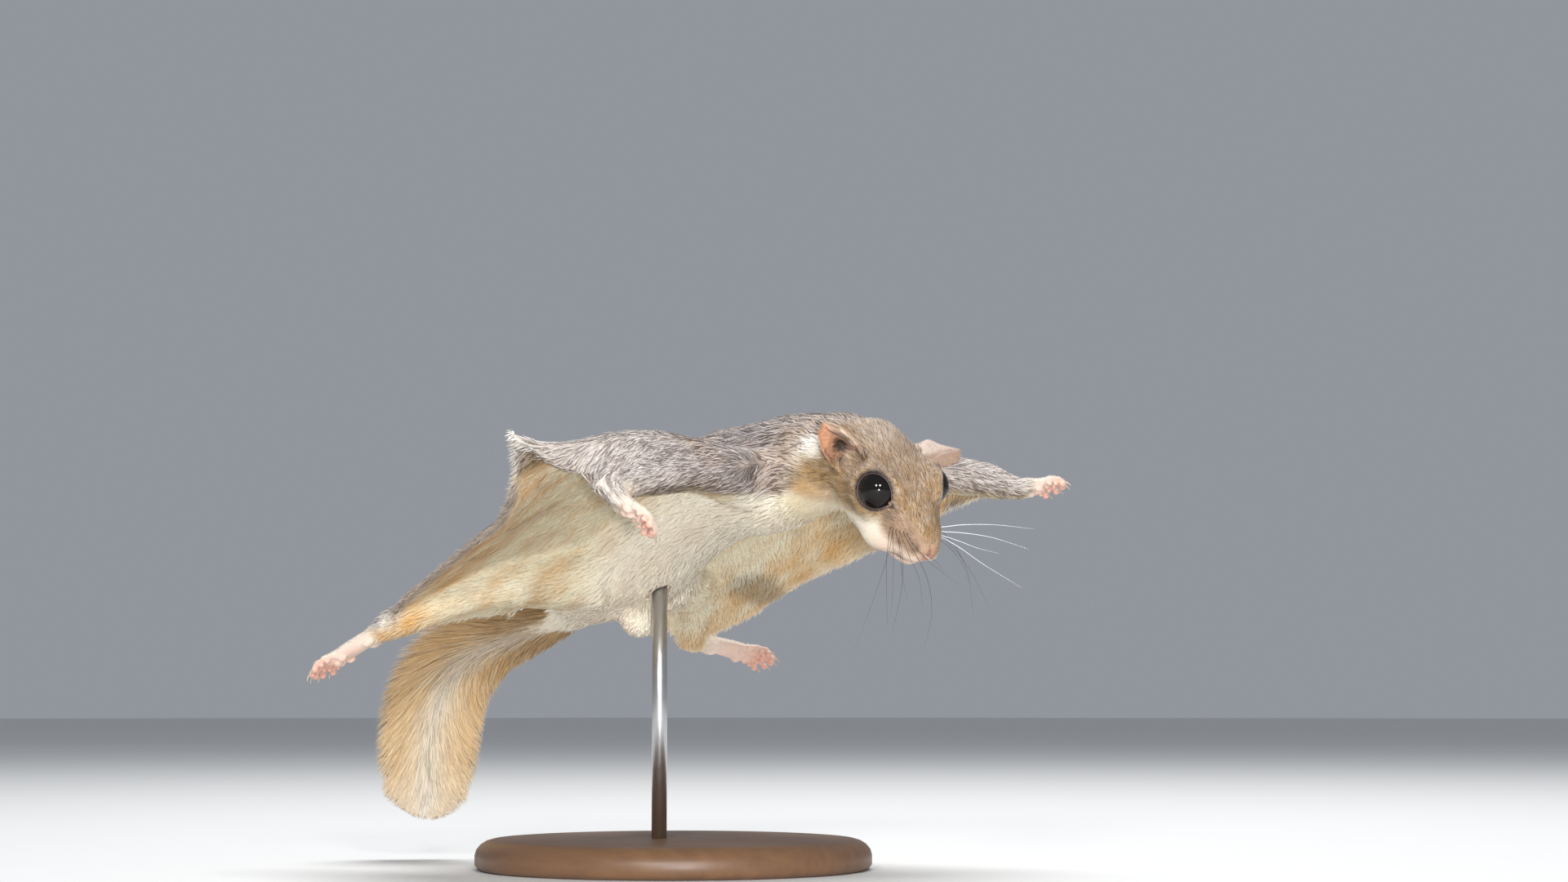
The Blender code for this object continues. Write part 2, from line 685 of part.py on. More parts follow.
def grown(item, amount):
    """A copy of an object with its surface moved outward by an amount."""
    group = item.users_collection[0]
    copy = bpy.data.objects.new("grown", item.data.copy())
    group.objects.link(copy)
    swell = copy.modifiers.new("swell", "DISPLACE")
    swell.strength = amount
    swell.mid_level = 0.0
    return to_mesh_object(copy, "grown", group)


def cut_clear(item, neighbour):
    """Cuts an object clear of its neighbour by the usual gap."""
    tool = grown(neighbour, PART_GAP)
    return keep_largest(carve(item, tool))


def combine(item, tool, operation):
    """A Boolean whose tool is removed afterwards."""
    item = boolean(item, tool, operation)
    bpy.data.objects.remove(tool, do_unlink=True)
    return item


def carve(item, tool):
    """Cuts a tool's shape out of an object."""
    return combine(item, tool, "DIFFERENCE")


def mouth_tool(head, group):
    """A thin bent slab along the lips, kept to a shallow depth under the head's surface."""
    frame = head_frame()
    (front, front_rise), (corner, corner_rise) = MOUTH_FRONT, MOUTH_CORNER
    slope = (front_rise - corner_rise) / (front - corner)
    points = []
    for a in (corner, front + MOUTH_PAST_LIPS):
        rise = corner_rise + slope * (a - corner)
        for b in (-MOUTH_REACH, MOUTH_REACH):
            for c in (rise * MM - MOUTH_GAP / 2.0, rise * MM + MOUTH_GAP / 2.0):
                points.append(frame @ Vector((a * MM, b * MM, c)))
    faces = [(0, 1, 3, 2), (4, 6, 7, 5), (0, 4, 5, 1), (2, 3, 7, 6), (0, 2, 6, 4), (1, 5, 7, 3)]
    slab = face_outward(make_object("lips", points, faces, group))
    return carve(slab, grown(head, -MOUTH_DEPTH))


def build_head(parts, cutters):
    """The head with its lids, lips, nostrils and eye sockets."""
    sources = [fuse("face", front_sources(parts), parts, BODY_VOXEL, BODY_SMOOTHING)]
    for hand in (1.0, -1.0):
        item = lid(hand, parts)
        for group in list(item.users_collection):
            group.objects.unlink(item)
        parts.objects.link(item)
        sources.append(item)
    whole = fuse("head_whole", sources, parts, HEAD_VOXEL, FINE_SMOOTHING, HEAD_FACES)
    head = split(whole, *NECK_HEAD_PLANE, "head", None, cutters)[0]
    head = carve(head, mouth_tool(head, parts))
    frame = head_frame()
    for hand in (1.0, -1.0):
        centre, _ = eye_place(hand)
        socket = ball("socket", centre, [EYE_RADIUS + PART_GAP] * 3, parts, sides=SOCKET_SIDES)
        head = carve(head, socket)
        a, b, c = NOSTRIL_AT
        radii = (NOSTRIL_DEPTH, NOSTRIL_RADIUS, NOSTRIL_RADIUS)
        turn = frame.to_3x3() @ Matrix.Rotation(NOSTRIL_TURN * hand, 3, "Z")
        nostril = ball("nostril", frame @ mm(a, b * hand, c), radii, parts, turn, NOSTRIL_SIDES)
        head = carve(head, nostril)
    return keep_largest(head)


def ear_section(s):
    """Half width and cup depth of an ear at a share of its length from base to tip."""
    share = EAR_AT_BASE + EAR_WIDENS * s - EAR_NARROWS * s * s
    width = EAR_HALF_WIDTH * share * (1.0 - s**EAR_ROUND_TIP) ** 0.5
    return max(width, EAR_LEAST * EAR_HALF_WIDTH), EAR_DEPTH * (1.0 - EAR_FLATTENS * s)


def build_ear(name, side, hand, head, group):
    """One cupped ear, rooted against the head."""
    frame = head_frame()
    turn = frame.to_3x3()
    axis = (turn @ Vector(side["ear_axis"])).normalized()
    opens = turn @ Vector(side["ear_opens"])
    opens = (opens - axis * opens.dot(axis)).normalized()
    across = axis.cross(opens)
    base = frame @ mm(EAR_BASE[0], EAR_BASE[1] * hand, EAR_BASE[2])
    rows, columns = EAR_ROWS, EAR_COLUMNS
    layers = []
    for thick in (0.5, -0.5):
        points = []
        for i in range(rows):
            s = i / (rows - 1)
            width, depth = ear_section(s)
            for j in range(columns):
                w = 2.0 * j / (columns - 1) - 1.0
                hollow = (1.0 - w * w) * depth + thick * EAR_THICK
                place = base + axis * (EAR_LENGTH * s) + across * (width * w)
                points.append(place - opens * (hollow - depth * 0.5))
        layers.append(points)
    count = rows * columns
    faces = []
    for i in range(rows - 1):
        for j in range(columns - 1):
            a = i * columns + j
            b, c, d = a + 1, a + columns + 1, a + columns
            faces.append((a, b, c, d))
            faces.append((a + count, d + count, c + count, b + count))
    rim = [(0, j) for j in range(columns)] + [(i, columns - 1) for i in range(1, rows)]
    rim += [(rows - 1, j) for j in range(columns - 2, -1, -1)] + [(i, 0) for i in range(rows - 2, 0, -1)]
    for here, after in zip(rim, rim[1:] + rim[:1]):
        a, b = here[0] * columns + here[1], after[0] * columns + after[1]
        faces.append((a, b, b + count, a + count))
    ear = face_outward(make_object(name, layers[0] + layers[1], faces, group))
    ear = keep_largest(ear)
    return cut_clear(ear, head)


def paw_frame(at, tip, pads_face):
    """Matrix of a paw: x to the toes, z out of its back, from the wrist."""
    forward = (tip - at).normalized()
    back = -Vector(pads_face)
    back = (back - forward * back.dot(forward)).normalized()
    side = back.cross(forward)
    turn = Matrix((forward, side, back)).transposed()
    return Matrix.Translation(at) @ turn.to_4x4()


def build_paw(name, at, tip, pads_face, shape, limb_node, group):
    """A hand or foot: palm, pads, jointed digits and claws, fused, rooted in its limb."""
    at, tip = Vector(at) * MM, Vector(tip) * MM
    frame = paw_frame(at, tip, pads_face)
    reach = (tip - at).length / MM
    palm, width, thick = shape["palm"] * reach, shape["width"], shape["thick"]
    sole = [PALM_ROOT_ROW]
    for run, wide, above, below in PALM_ROWS:
        sole.append((palm * run, 0, 0, width * wide, thick * above, thick * below))
    placed = [(*(frame @ mm(*row[:3])), *(r * MM for r in row[3:])) for row in sole]
    side = frame.to_3x3() @ Vector((0.0, 1.0, 0.0))
    items = [tube(name, placed, group, PALM_RINGS, PALM_SIDES, np.array([side, side]))]
    claws = []
    digits = shape["digits"]
    for i in range(digits):
        spread = 2.0 * i / (digits - 1) - 1.0
        length = (reach - palm) * (1.0 - shape["outer_short"] * spread * spread)
        start = Vector((palm * DIGIT_ROOT[0], spread * width * DIGIT_ROOT[1], 0.0))
        angle = spread * shape["fan"]
        joints = []
        for step, drop in (*DIGIT_BENDS, (1.0, -shape["curl"])):
            run = length * step
            joints.append(start + Vector((run * math.cos(angle), run * math.sin(angle), drop)))
        radii = [shape["digit"] * share for share in DIGIT_TAPER]
        placed = [(*(frame @ (p * MM)), r * MM, r * MM, r * MM) for p, r in zip(joints, radii)]
        items.append(tube("digit", placed, group, DIGIT_RINGS, DIGIT_SIDES, np.array([side, side])))
        tip_pad = frame @ ((joints[-1] + Vector(TIP_PAD_AT)) * MM)
        items.append(ball("pad", tip_pad, [shape["digit"] * TIP_PAD_SIZE * MM] * 3, group, sides=PAD_SIDES))
        pad = frame @ ((start + Vector((PAD_AHEAD, 0.0, -thick * PAD_DROP))) * MM)
        items.append(ball("pad", pad, [PAD_RADIUS * MM] * 3, group, sides=PAD_SIDES))
        claws.append((joints[-1], angle))
    for spread in (-1.0, 1.0):
        heel = Vector((palm * shape["heel"], spread * width * HEEL_ASIDE, -thick * PAD_DROP))
        items.append(ball("pad", frame @ (heel * MM), mm(*HEEL_PAD), group, frame.to_3x3(), PAD_SIDES))
    paw = fuse(name, items, group, PAW_VOXEL, FINE_SMOOTHING, shape["faces"])
    for joint, angle in claws:
        paw = combine(paw, claw(frame, joint, angle, group), "UNION")
    return cut_clear(keep_largest(paw), limb_node)


def claw(frame, joint, angle, group):
    """One hooked claw at the end of a digit."""
    way = Vector((math.cos(angle), math.sin(angle), 0.0))
    rows = []
    for run, drop, radius in CLAW_ROWS:
        place = frame @ ((joint + way * run + Vector((0.0, 0.0, drop))) * MM)
        rows.append((*place, radius * MM, radius * MM, radius * MM))
    return tube("claw", rows, group, CLAW_RINGS, CLAW_SIDES)


class TailLine:
    """The tail's centre line with its directions and half sizes, read at places from 0 to 1."""

    def __init__(self, count=200):
        rows = smooth_rows([[c * MM for c in row] for row in TAIL_ROWS], count)
        self.rows = rows
        self.places = np.linspace(0.0, 1.0, count)
        self.along = unit(np.gradient(rows[:, :3], axis=0))
        share = self.places[:, None]
        side = np.array(TAIL_ACROSS_BASE) * (1.0 - share) + np.array(TAIL_ACROSS_TIP) * share
        self.across = unit(side - self.along * np.sum(side * self.along, axis=1, keepdims=True))
        self.normal = np.cross(self.along, self.across)

    def read(self, table, place):
        """A row of one of the tables at a place."""
        return np.array([np.interp(place, self.places, column) for column in table.T])

    def point(self, place, aside, lifted):
        """A point beside and above the centre line, in metres."""
        centre = self.read(self.rows, place)[:3]
        return centre + self.read(self.across, place) * aside + self.read(self.normal, place) * lifted


def tail_locks(line, group):
    """Flat tapered locks in two layers along both sides of the tail, varied a little."""
    draw = random.Random(LOCK_SEED)
    for layer, lift in enumerate((LOCK_LIFT, -LOCK_LIFT)):
        for step in range(LOCK_STEPS):
            tip_place = LOCK_FIRST + (1.0 - LOCK_FIRST) * (step + 0.5 * layer) / (LOCK_STEPS - 0.5)
            for hand in (1.0, -1.0):
                reach = 1.0 - draw.uniform(0.0, LOCK_VARIES)
                root_place = max(0.0, tip_place - LOCK_LAG * (1.0 + draw.uniform(-LOCK_VARIES, LOCK_VARIES)))
                root_aside = line.read(line.rows, root_place)[3] * LOCK_ROOT
                tip_aside = line.read(line.rows, tip_place)[3] * reach
                one_lock(line, hand, (root_place, root_aside), (tip_place, tip_aside), lift, group)


def one_lock(line, hand, root, tip, lift, group):
    """One lock from its root inside the core to its tip on the outline."""
    rows = []
    count = len(LOCK_HALF_WIDTHS)
    for i, (wide, thick) in enumerate(zip(LOCK_HALF_WIDTHS, LOCK_HALF_THICKS)):
        q = i / (count - 1)
        place = root[0] + (tip[0] - root[0]) * q**LOCK_RUN
        aside = root[1] + (tip[1] - root[1]) * q**LOCK_SPREAD
        centre = line.point(place, aside * hand, lift * (1.0 - LOCK_SINKS * q))
        rows.append((*centre, wide * MM, thick * MM, thick * MM))
    way = np.array(rows[-1][:3]) - np.array(rows[0][:3])
    flat = np.cross(line.read(line.normal, (root[0] + tip[0]) / 2.0), way)
    tube("lock", rows, group, count, LOCK_SIDES, np.array([flat, flat]))


def build_tail(parts, cutters):
    """The tail's core with its locks fused on, ended at the rump and parted in two."""
    rows = [
        (*(c * MM for c in row[:3]), row[3] * wide * MM, row[4] * thick * MM, row[4] * thick * MM)
        for row, wide, thick in zip(TAIL_ROWS, TAIL_CORE_WIDTHS, TAIL_CORE_THICKS)
    ]
    across = np.array([TAIL_ACROSS_BASE, TAIL_ACROSS_TIP])
    tail = tube("tail", rows, parts, TAIL_RINGS, TAIL_SIDES, across)
    locks = make_collection("locks")
    tail_locks(TailLine(), locks)
    for item in (tail, *locks.objects):
        in_triangles(item)
    step = tail.modifiers.new("locks", "BOOLEAN")
    step.operation = "UNION"
    step.solver = "EXACT"
    step.operand_type = "COLLECTION"
    step.collection = locks
    tail = to_mesh_object(tail, "tail", parts)
    for item in list(locks.objects):
        bpy.data.objects.remove(item, do_unlink=True)
    bpy.data.collections.remove(locks)
    tail = split(keep_largest(tail), *TAIL_ROOT_PLANE, "tail", None, cutters)[0]
    split(tail, *TAIL_PLANE, "tail_lower", "tail_upper", cutters)


def build_stand(parts):
    """A round foot with a bevelled rim, and a plain rod."""
    mesh = bmesh.new()
    bmesh.ops.create_cone(
        mesh, cap_ends=True, segments=BASE_SIDES, radius1=BASE_RADIUS, radius2=BASE_RADIUS,
        depth=BASE_HEIGHT,
    )
    mesh.transform(Matrix.Translation((0.0, 0.0, BASE_HEIGHT / 2.0)))
    rim = [e for e in mesh.edges if all(v.co.z > BASE_HEIGHT - BASE_BEVEL for v in e.verts)]
    bmesh.ops.bevel(
        mesh, geom=rim, offset=BASE_BEVEL, segments=BASE_BEVEL_STEPS, affect="EDGES", profile=0.5
    )
    data = bpy.data.meshes.new("stand_base")
    mesh.to_mesh(data)
    mesh.free()
    base = bpy.data.objects.new("stand_base", data)
    parts.objects.link(base)
    socket = rod_body("socket", ROD_RADIUS + PART_GAP, ROD_FOOT - PART_GAP, BASE_HEIGHT * 2.0, parts)
    carve(base, socket)
    rod_body("stand_rod", ROD_RADIUS, ROD_FOOT, ROD_TOP, parts)


def rod_body(name, radius, low, high, group):
    """An upright cylinder at the rod's place."""
    mesh = bmesh.new()
    bmesh.ops.create_cone(
        mesh, cap_ends=True, segments=ROD_SIDES, radius1=radius, radius2=radius, depth=high - low
    )
    mesh.transform(Matrix.Translation((*ROD_AT, (low + high) / 2.0)))
    data = bpy.data.meshes.new(name)
    mesh.to_mesh(data)
    mesh.free()
    item = bpy.data.objects.new(name, data)
    group.objects.link(item)
    return item


def paint(item, finish, roughness, metallic):
    """Gives a node its own material."""
    material = bpy.data.materials.new(item.name)
    material.use_nodes = True
    shader = material.node_tree.nodes["Principled BSDF"]
    shader.inputs["Base Color"].default_value = (*COLOURS[finish], 1.0)
    shader.inputs["Roughness"].default_value = roughness
    shader.inputs["Metallic"].default_value = metallic
    item.data.materials.clear()
    item.data.materials.append(material)


def main():
    """Builds every node."""
    remove_all_objects()
    for _, side in SIDES:
        place_joints(side)
    parts = make_collection("flying_squirrel")
    cutters = make_collection("cutters")
    middle = fuse("flesh", body_sources(parts), parts, BODY_VOXEL, BODY_SMOOTHING, BODY_FACES)
    limbs = {}
    for label, side in SIDES:
        outer, middle = split(middle, *side["flank_plane"], "outer", "middle", cutters)
        arm, rest = split(outer, *side["arm_plane"], "arm_" + label, "rest", cutters)
        limbs[label] = arm, split(rest, *side["leg_plane"], "wing_" + label, "leg_" + label, cutters)[1]
    front, middle = split(middle, *TORSO_NECK_PLANE, "front", "middle", cutters)
    split(front, *NECK_HEAD_PLANE, None, "neck", cutters)
    hind = split(middle, *RUMP_PLANE, "hind", "torso", cutters)[0]
    rump = split(hind, *TAIL_ROOT_PLANE, None, "rump", cutters)[1]
    carve(rump, rod_body("hole", ROD_RADIUS + PART_GAP, BASE_HEIGHT, ROD_TOP + PART_GAP, parts))
    head = build_head(parts, cutters)
    for label, side in SIDES:
        hand = 1.0 if label == "left" else -1.0
        build_ear("ear_" + label, side, hand, head, parts)
        ball("eye_" + label, eye_place(hand)[0], [EYE_RADIUS] * 3, parts, sides=EYE_SIDES)
        arm, leg = limbs[label]
        build_paw("hand_" + label, side["wrist"], side["fingers"], side["palm_faces"], HAND, arm, parts)
        build_paw("foot_" + label, side["ankle"], side["toes"], side["sole_faces"], FOOT, leg, parts)
    build_tail(parts, cutters)
    build_stand(parts)
    for item in parts.objects:
        finish = FINISHES.get(item.name) or FINISHES.get(item.name.split("_")[0]) or FUR_FINISH
        paint(item, *finish)


main()
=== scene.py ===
"""The looks of a southern flying squirrel in a glide, held over a plain round stand.

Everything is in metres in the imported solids' frame: +Z up, -Y the way the animal heads and +X
its left. One skin stands for the flesh, and a coat of solid tufts grows on it.
"""
import logging
import math
from dataclasses import dataclass
from enum import Enum
from typing import Iterable, Sequence

import bmesh
import bpy
import numpy as np
from mathutils import Matrix, Vector
from mathutils.bvhtree import BVHTree


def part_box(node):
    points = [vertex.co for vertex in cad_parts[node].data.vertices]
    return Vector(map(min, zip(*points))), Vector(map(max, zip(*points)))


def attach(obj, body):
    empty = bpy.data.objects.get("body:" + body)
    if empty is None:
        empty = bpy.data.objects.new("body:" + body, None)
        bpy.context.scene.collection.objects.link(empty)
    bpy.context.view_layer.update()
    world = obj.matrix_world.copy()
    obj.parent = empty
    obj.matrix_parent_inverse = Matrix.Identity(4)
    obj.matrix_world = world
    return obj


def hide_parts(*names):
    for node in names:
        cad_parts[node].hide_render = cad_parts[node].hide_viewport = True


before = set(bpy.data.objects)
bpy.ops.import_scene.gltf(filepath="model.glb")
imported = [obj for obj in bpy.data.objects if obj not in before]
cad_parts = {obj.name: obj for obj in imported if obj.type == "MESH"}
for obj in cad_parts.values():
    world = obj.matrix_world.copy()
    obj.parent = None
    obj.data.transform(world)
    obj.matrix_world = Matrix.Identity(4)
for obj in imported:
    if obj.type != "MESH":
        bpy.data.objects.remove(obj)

LOG = logging.getLogger("flying_squirrel")
MM = 0.001
ROOT = "root"
NOISE_WAVES = 10
NOISE_SPAN = 3.2
EASE_SHARES = (0.5, -0.5 * 1.06)
UP = Vector((0.0, 0.0, 1.0))
Array = np.ndarray
Item = bpy.types.Object
Socket = bpy.types.NodeSocket
Place = tuple[float, float, float]
Faces = Sequence[Sequence[int]]
Form = tuple[Array, Faces]
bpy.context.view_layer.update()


class Side(Enum):
    """The two sides of the animal, valued by the sign of their +X."""

    RIGHT = -1.0
    LEFT = 1.0

    @property
    def label(self) -> str:
        """The side's name as the nodes end with it."""
        return self.name.lower()


class Slot(Enum):
    """The record's material slots."""

    BACK = "fur_back"
    MEMBRANE = "fur_membrane"
    TAIL = "fur_tail"
    BARE = "bare_skin"
    EYE = "eye"
    WOOD = "stand_wood"
    METAL = "stand_metal"


def unit(vectors: Array) -> Array:
    """Vectors scaled to length one along the last axis."""
    vectors = np.asarray(vectors, dtype=float)
    return vectors / np.maximum(np.linalg.norm(vectors, axis=-1, keepdims=True), 1e-12)


def ease(values: Array, low: float, high: float) -> Array:
    """A smooth step from 0 at low to 1 at high, where low may be the larger."""
    share = np.clip((np.asarray(values, dtype=float) - low) / (high - low), 0.0, 1.0)
    return share * share * (3.0 - 2.0 * share)


def between(low: Array | float, high: Array | float, share: Array | float) -> Array:
    """Values a share of the way from low to high."""
    return low * (1.0 - share) + high * share


def square_to(ways: Array, axes: Array) -> Array:
    """Ways turned square to axes, at length one."""
    return unit(ways - axes * np.sum(ways * axes, axis=1, keepdims=True))


def smooth_rows(rows: Sequence[Sequence[float]], count: int) -> Array:
    """Rows of numbers read along a smooth curve through the given ones.

    Args:
        rows: Rows whose first three numbers are a place.
        count: How many rows to read, evenly along the curve.

    Returns:
        An array of count rows.
    """
    rows = np.asarray(rows, dtype=float)
    steps = np.linalg.norm(np.diff(rows[:, :3], axis=0), axis=1)
    knots = np.concatenate([[0.0], np.cumsum(np.maximum(steps, 1e-9))])
    slopes = np.gradient(rows, knots, axis=0)
    places = np.linspace(0.0, knots[-1], count)
    spans = np.clip(np.searchsorted(knots, places, side="right") - 1, 0, len(knots) - 2)
    width = (knots[spans + 1] - knots[spans])[:, None]
    t = ((places - knots[spans]) / width[:, 0])[:, None]
    a, b = rows[spans], rows[spans + 1]
    m, n = slopes[spans] * width, slopes[spans + 1] * width
    return (
        (2 * t**3 - 3 * t**2 + 1) * a + (t**3 - 2 * t**2 + t) * m
        + (3 * t**2 - 2 * t**3) * b + (t**3 - t**2) * n
    )


def nearest_on_line(points: Array, line: Array) -> tuple[Array, Array]:
    """Distances from points to a fine polyline and the index of the nearest of its corners."""
    best = np.full(len(points), np.inf)
    index = np.zeros(len(points), dtype=int)
    for i, corner in enumerate(line):
        away = np.linalg.norm(points - corner, axis=1)
        closer = away < best
        best[closer] = away[closer]
        index[closer] = i
    return best, index


def wave_noise(points: Array, scale: float, seed: int) -> Array:
    """A smooth repeatable noise between about -1 and 1.

    Args:
        points: Places in metres.
        scale: Typical size of a patch in metres.
        seed: Chooses the pattern.

    Returns:
        One value for each point.
    """
    draw = np.random.default_rng(seed)
    total = np.zeros(len(points))
    for _ in range(NOISE_WAVES):
        way = unit(draw.normal(size=3)) * draw.uniform(0.6, 1.7) * 2.0 * math.pi / (scale * 2.0)
        total += np.sin(points @ way + draw.uniform(0.0, 2.0 * math.pi))
    return total / NOISE_SPAN


@dataclass
class Limb:
    """One side's joints, in millimetres, as the solids have them."""

    shoulder: Place
    elbow: Place
    wrist: Place
    fingers: Place
    hip: Place
    knee: Place
    ankle: Place
    toes: Place
    palm_faces: Place
    sole_faces: Place
    spur: tuple[Place, ...]
    outer: tuple[Place, ...]
    leading: tuple[Place, ...]
    trailing: tuple[Place, ...]
    ear_axis: Place
    ear_opens: Place


class Body:
    """Where the animal's lines lie, so that the coat can follow them."""

    HEAD_AT = Vector((-0.8, -76.6, 100.5)) * MM
    HEAD_FORWARD = Vector((-0.035, -0.74, -0.67))
    HEAD_LEFT = Vector((0.983, -0.06, 0.17))
    EYE_LOOKS = (0.45, 0.86, 0.22)
    EAR_BASE = (0.0, 9.0, 4.0)
    SPINE = (
        (-0.8, -76.6, 100.5), (-2.0, -65.5, 105.5), (-2.0, -52.0, 103.0), (-1.0, -40.0, 101.0),
        (-2.0, -20.0, 98.5), (-2.5, -3.0, 92.0), (-2.5, 15.0, 81.0), (-3.0, 30.0, 72.5),
        (-3.0, 44.0, 68.0),
    )
    TAIL = (
        (-2.9, 34.5, 70.6, 6.0, 4.8), (-5.0, 49.0, 66.0, 9.0, 4.5), (-9.0, 62.0, 62.0, 12.6, 4.2),
        (-13.2, 73.7, 57.5, 15.0, 4.0), (-16.0, 82.5, 46.0, 15.4, 4.0), (-17.0, 84.5, 33.5, 15.2, 4.0),
        (-18.0, 84.0, 21.5, 13.6, 3.6), (-19.0, 83.5, 13.0, 9.8, 2.4), (-19.5, 83.5, 10.5, 3.0, 1.2),
    )
    TAIL_ACROSS = ((0.86, -0.05, -0.5), (0.78, -0.62, 0.0))
    LIMBS = {
        Side.RIGHT: Limb(
            shoulder=(-11.5, -43.0, 100.0), elbow=(-37.0, -48.2, 99.7), wrist=(-64.4, -49.6, 94.1),
            fingers=(-55.4, -57.6, 83.6), hip=(-13.0, 15.0, 79.5), knee=(-38.2, 27.3, 74.3),
            ankle=(-54.9, 52.3, 63.4), toes=(-65.0, 74.7, 50.0), palm_faces=(-0.73, 0.35, -0.60),
            sole_faces=(0.17, -0.56, -0.80),
            spur=((0, -2, 0), (-7, 3, 1), (-14, 7, 5), (-21, 12, 15)),
            outer=((-79.8, -32, 97.6), (-72, -16.5, 87), (-65.8, 4.5, 81.6), (-60.4, 27, 75.2),
                   (-58.6, 43, 68.8)),
            leading=((-3, -60, 96), (-21, -60, 94), (-42, -55, 94)),
            trailing=((-4, 42, 68), (-20, 42, 67), (-37, 47, 65)),
            ear_axis=(-0.42, -0.70, 0.58), ear_opens=(0.72, -0.68, -0.10),
        ),
        Side.LEFT: Limb(
            shoulder=(16.0, -42.0, 101.0), elbow=(39.0, -53.9, 102.8), wrist=(66.0, -61.2, 100.3),
            fingers=(81.5, -64.6, 101.7), hip=(8.0, 17.5, 79.5), knee=(33.3, 29.7, 74.7),
            ankle=(52.8, 51.5, 61.6), toes=(78.8, 43.3, 55.1), palm_faces=(0.13, -0.36, -0.90),
            sole_faces=(-0.37, -0.38, -0.85),
            spur=((0, -2, 0), (4, 3, 0), (7, 10, 0), (7, 17, -1)),
            outer=((69, -28, 93), (64, -9, 84), (61, 9, 78), (61, 23, 73), (60, 37, 67)),
            leading=((4, -60, 96), (21, -62, 96), (39, -62, 98)),
            trailing=((-3, 42, 68), (16, 43, 67), (36, 47, 64)),
            ear_axis=(0.05, 0.96, 0.20), ear_opens=(0.15, 0.0, -1.0),
        ),
    }

    def __init__(self) -> None:
        """Works out the head's frame and the fine lines."""
        forward = self.HEAD_FORWARD.normalized()
        left = (self.HEAD_LEFT - forward * self.HEAD_LEFT.dot(forward)).normalized()
        turn = Matrix((forward, left, forward.cross(left))).transposed()
        self.head = Matrix.Translation(self.HEAD_AT) @ turn.to_4x4()
        self.head_turn = np.array(turn)
        self.spine = smooth_rows([[c * MM for c in row] for row in self.SPINE], 60)
        self.spine_way = unit(np.gradient(self.spine, axis=0))
        self.tail = smooth_rows([[c * MM for c in row] for row in self.TAIL], 160)
        self.tail_way = unit(np.gradient(self.tail[:, :3], axis=0))
        share = np.linspace(0.0, 1.0, len(self.tail))[:, None]
        side = between(np.array(self.TAIL_ACROSS[0]), np.array(self.TAIL_ACROSS[1]), share)
        self.tail_across = square_to(side, self.tail_way)
        self.tail_normal = np.cross(self.tail_way, self.tail_across)
        self.edges = {side: self._edges(limb) for side, limb in self.LIMBS.items()}

    @staticmethod
    def _edges(limb: Limb) -> dict[str, Array]:
        """The membrane's leading, outer and trailing lines of one side, in metres."""
        spur = [tuple(np.add(limb.wrist, place)) for place in limb.spur]
        lines = {
            "leading": [*limb.leading, *spur],
            "outer": [spur[-1], *limb.outer, limb.ankle],
            "trailing": [*limb.trailing, limb.ankle],
        }
        return {name: smooth_rows(np.array(rows) * MM, 70) for name, rows in lines.items()}

    def in_head(self, points: Array) -> Array:
        """Places in the head's own axes: forward, left and up, in metres."""
        return (np.asarray(points) - np.array(self.HEAD_AT)) @ self.head_turn

    def head_point(self, a: float, b: float, c: float) -> Vector:
        """A place given in the head's own axes in millimetres."""
        return self.head @ (Vector((a, b, c)) * MM)

    def eye(self, side: Side) -> tuple[Array, Array]:
        """Centre of an eyeball, read from its node's box, and the way it looks."""
        low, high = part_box("eye_" + side.label)
        a, b, c = self.EYE_LOOKS
        looks = self.head.to_3x3() @ Vector((a, b * side.value, c)).normalized()
        return np.array((low + high) / 2.0), np.array(looks)

    def round_eye(self, side: Side, points: Array) -> tuple[Array, Array]:
        """Distances of places from the line that an eye looks along, and heights along it."""
        centre, looks = self.eye(side)
        high = (points - centre) @ looks
        return np.linalg.norm(points - centre - high[:, None] * looks, axis=1), high

    def ear(self, side: Side) -> tuple[Array, Array, Array, Array]:
        """Base of an ear, the way to its tip, the way it opens and the way across it."""
        limb = self.LIMBS[side]
        axis = unit(self.head_turn @ np.array(limb.ear_axis))
        opens = self.head_turn @ np.array(limb.ear_opens)
        opens = unit(opens - axis * (opens @ axis))
        a, b, c = self.EAR_BASE
        return np.array(self.head_point(a, b * side.value, c)), axis, opens, np.cross(axis, opens)


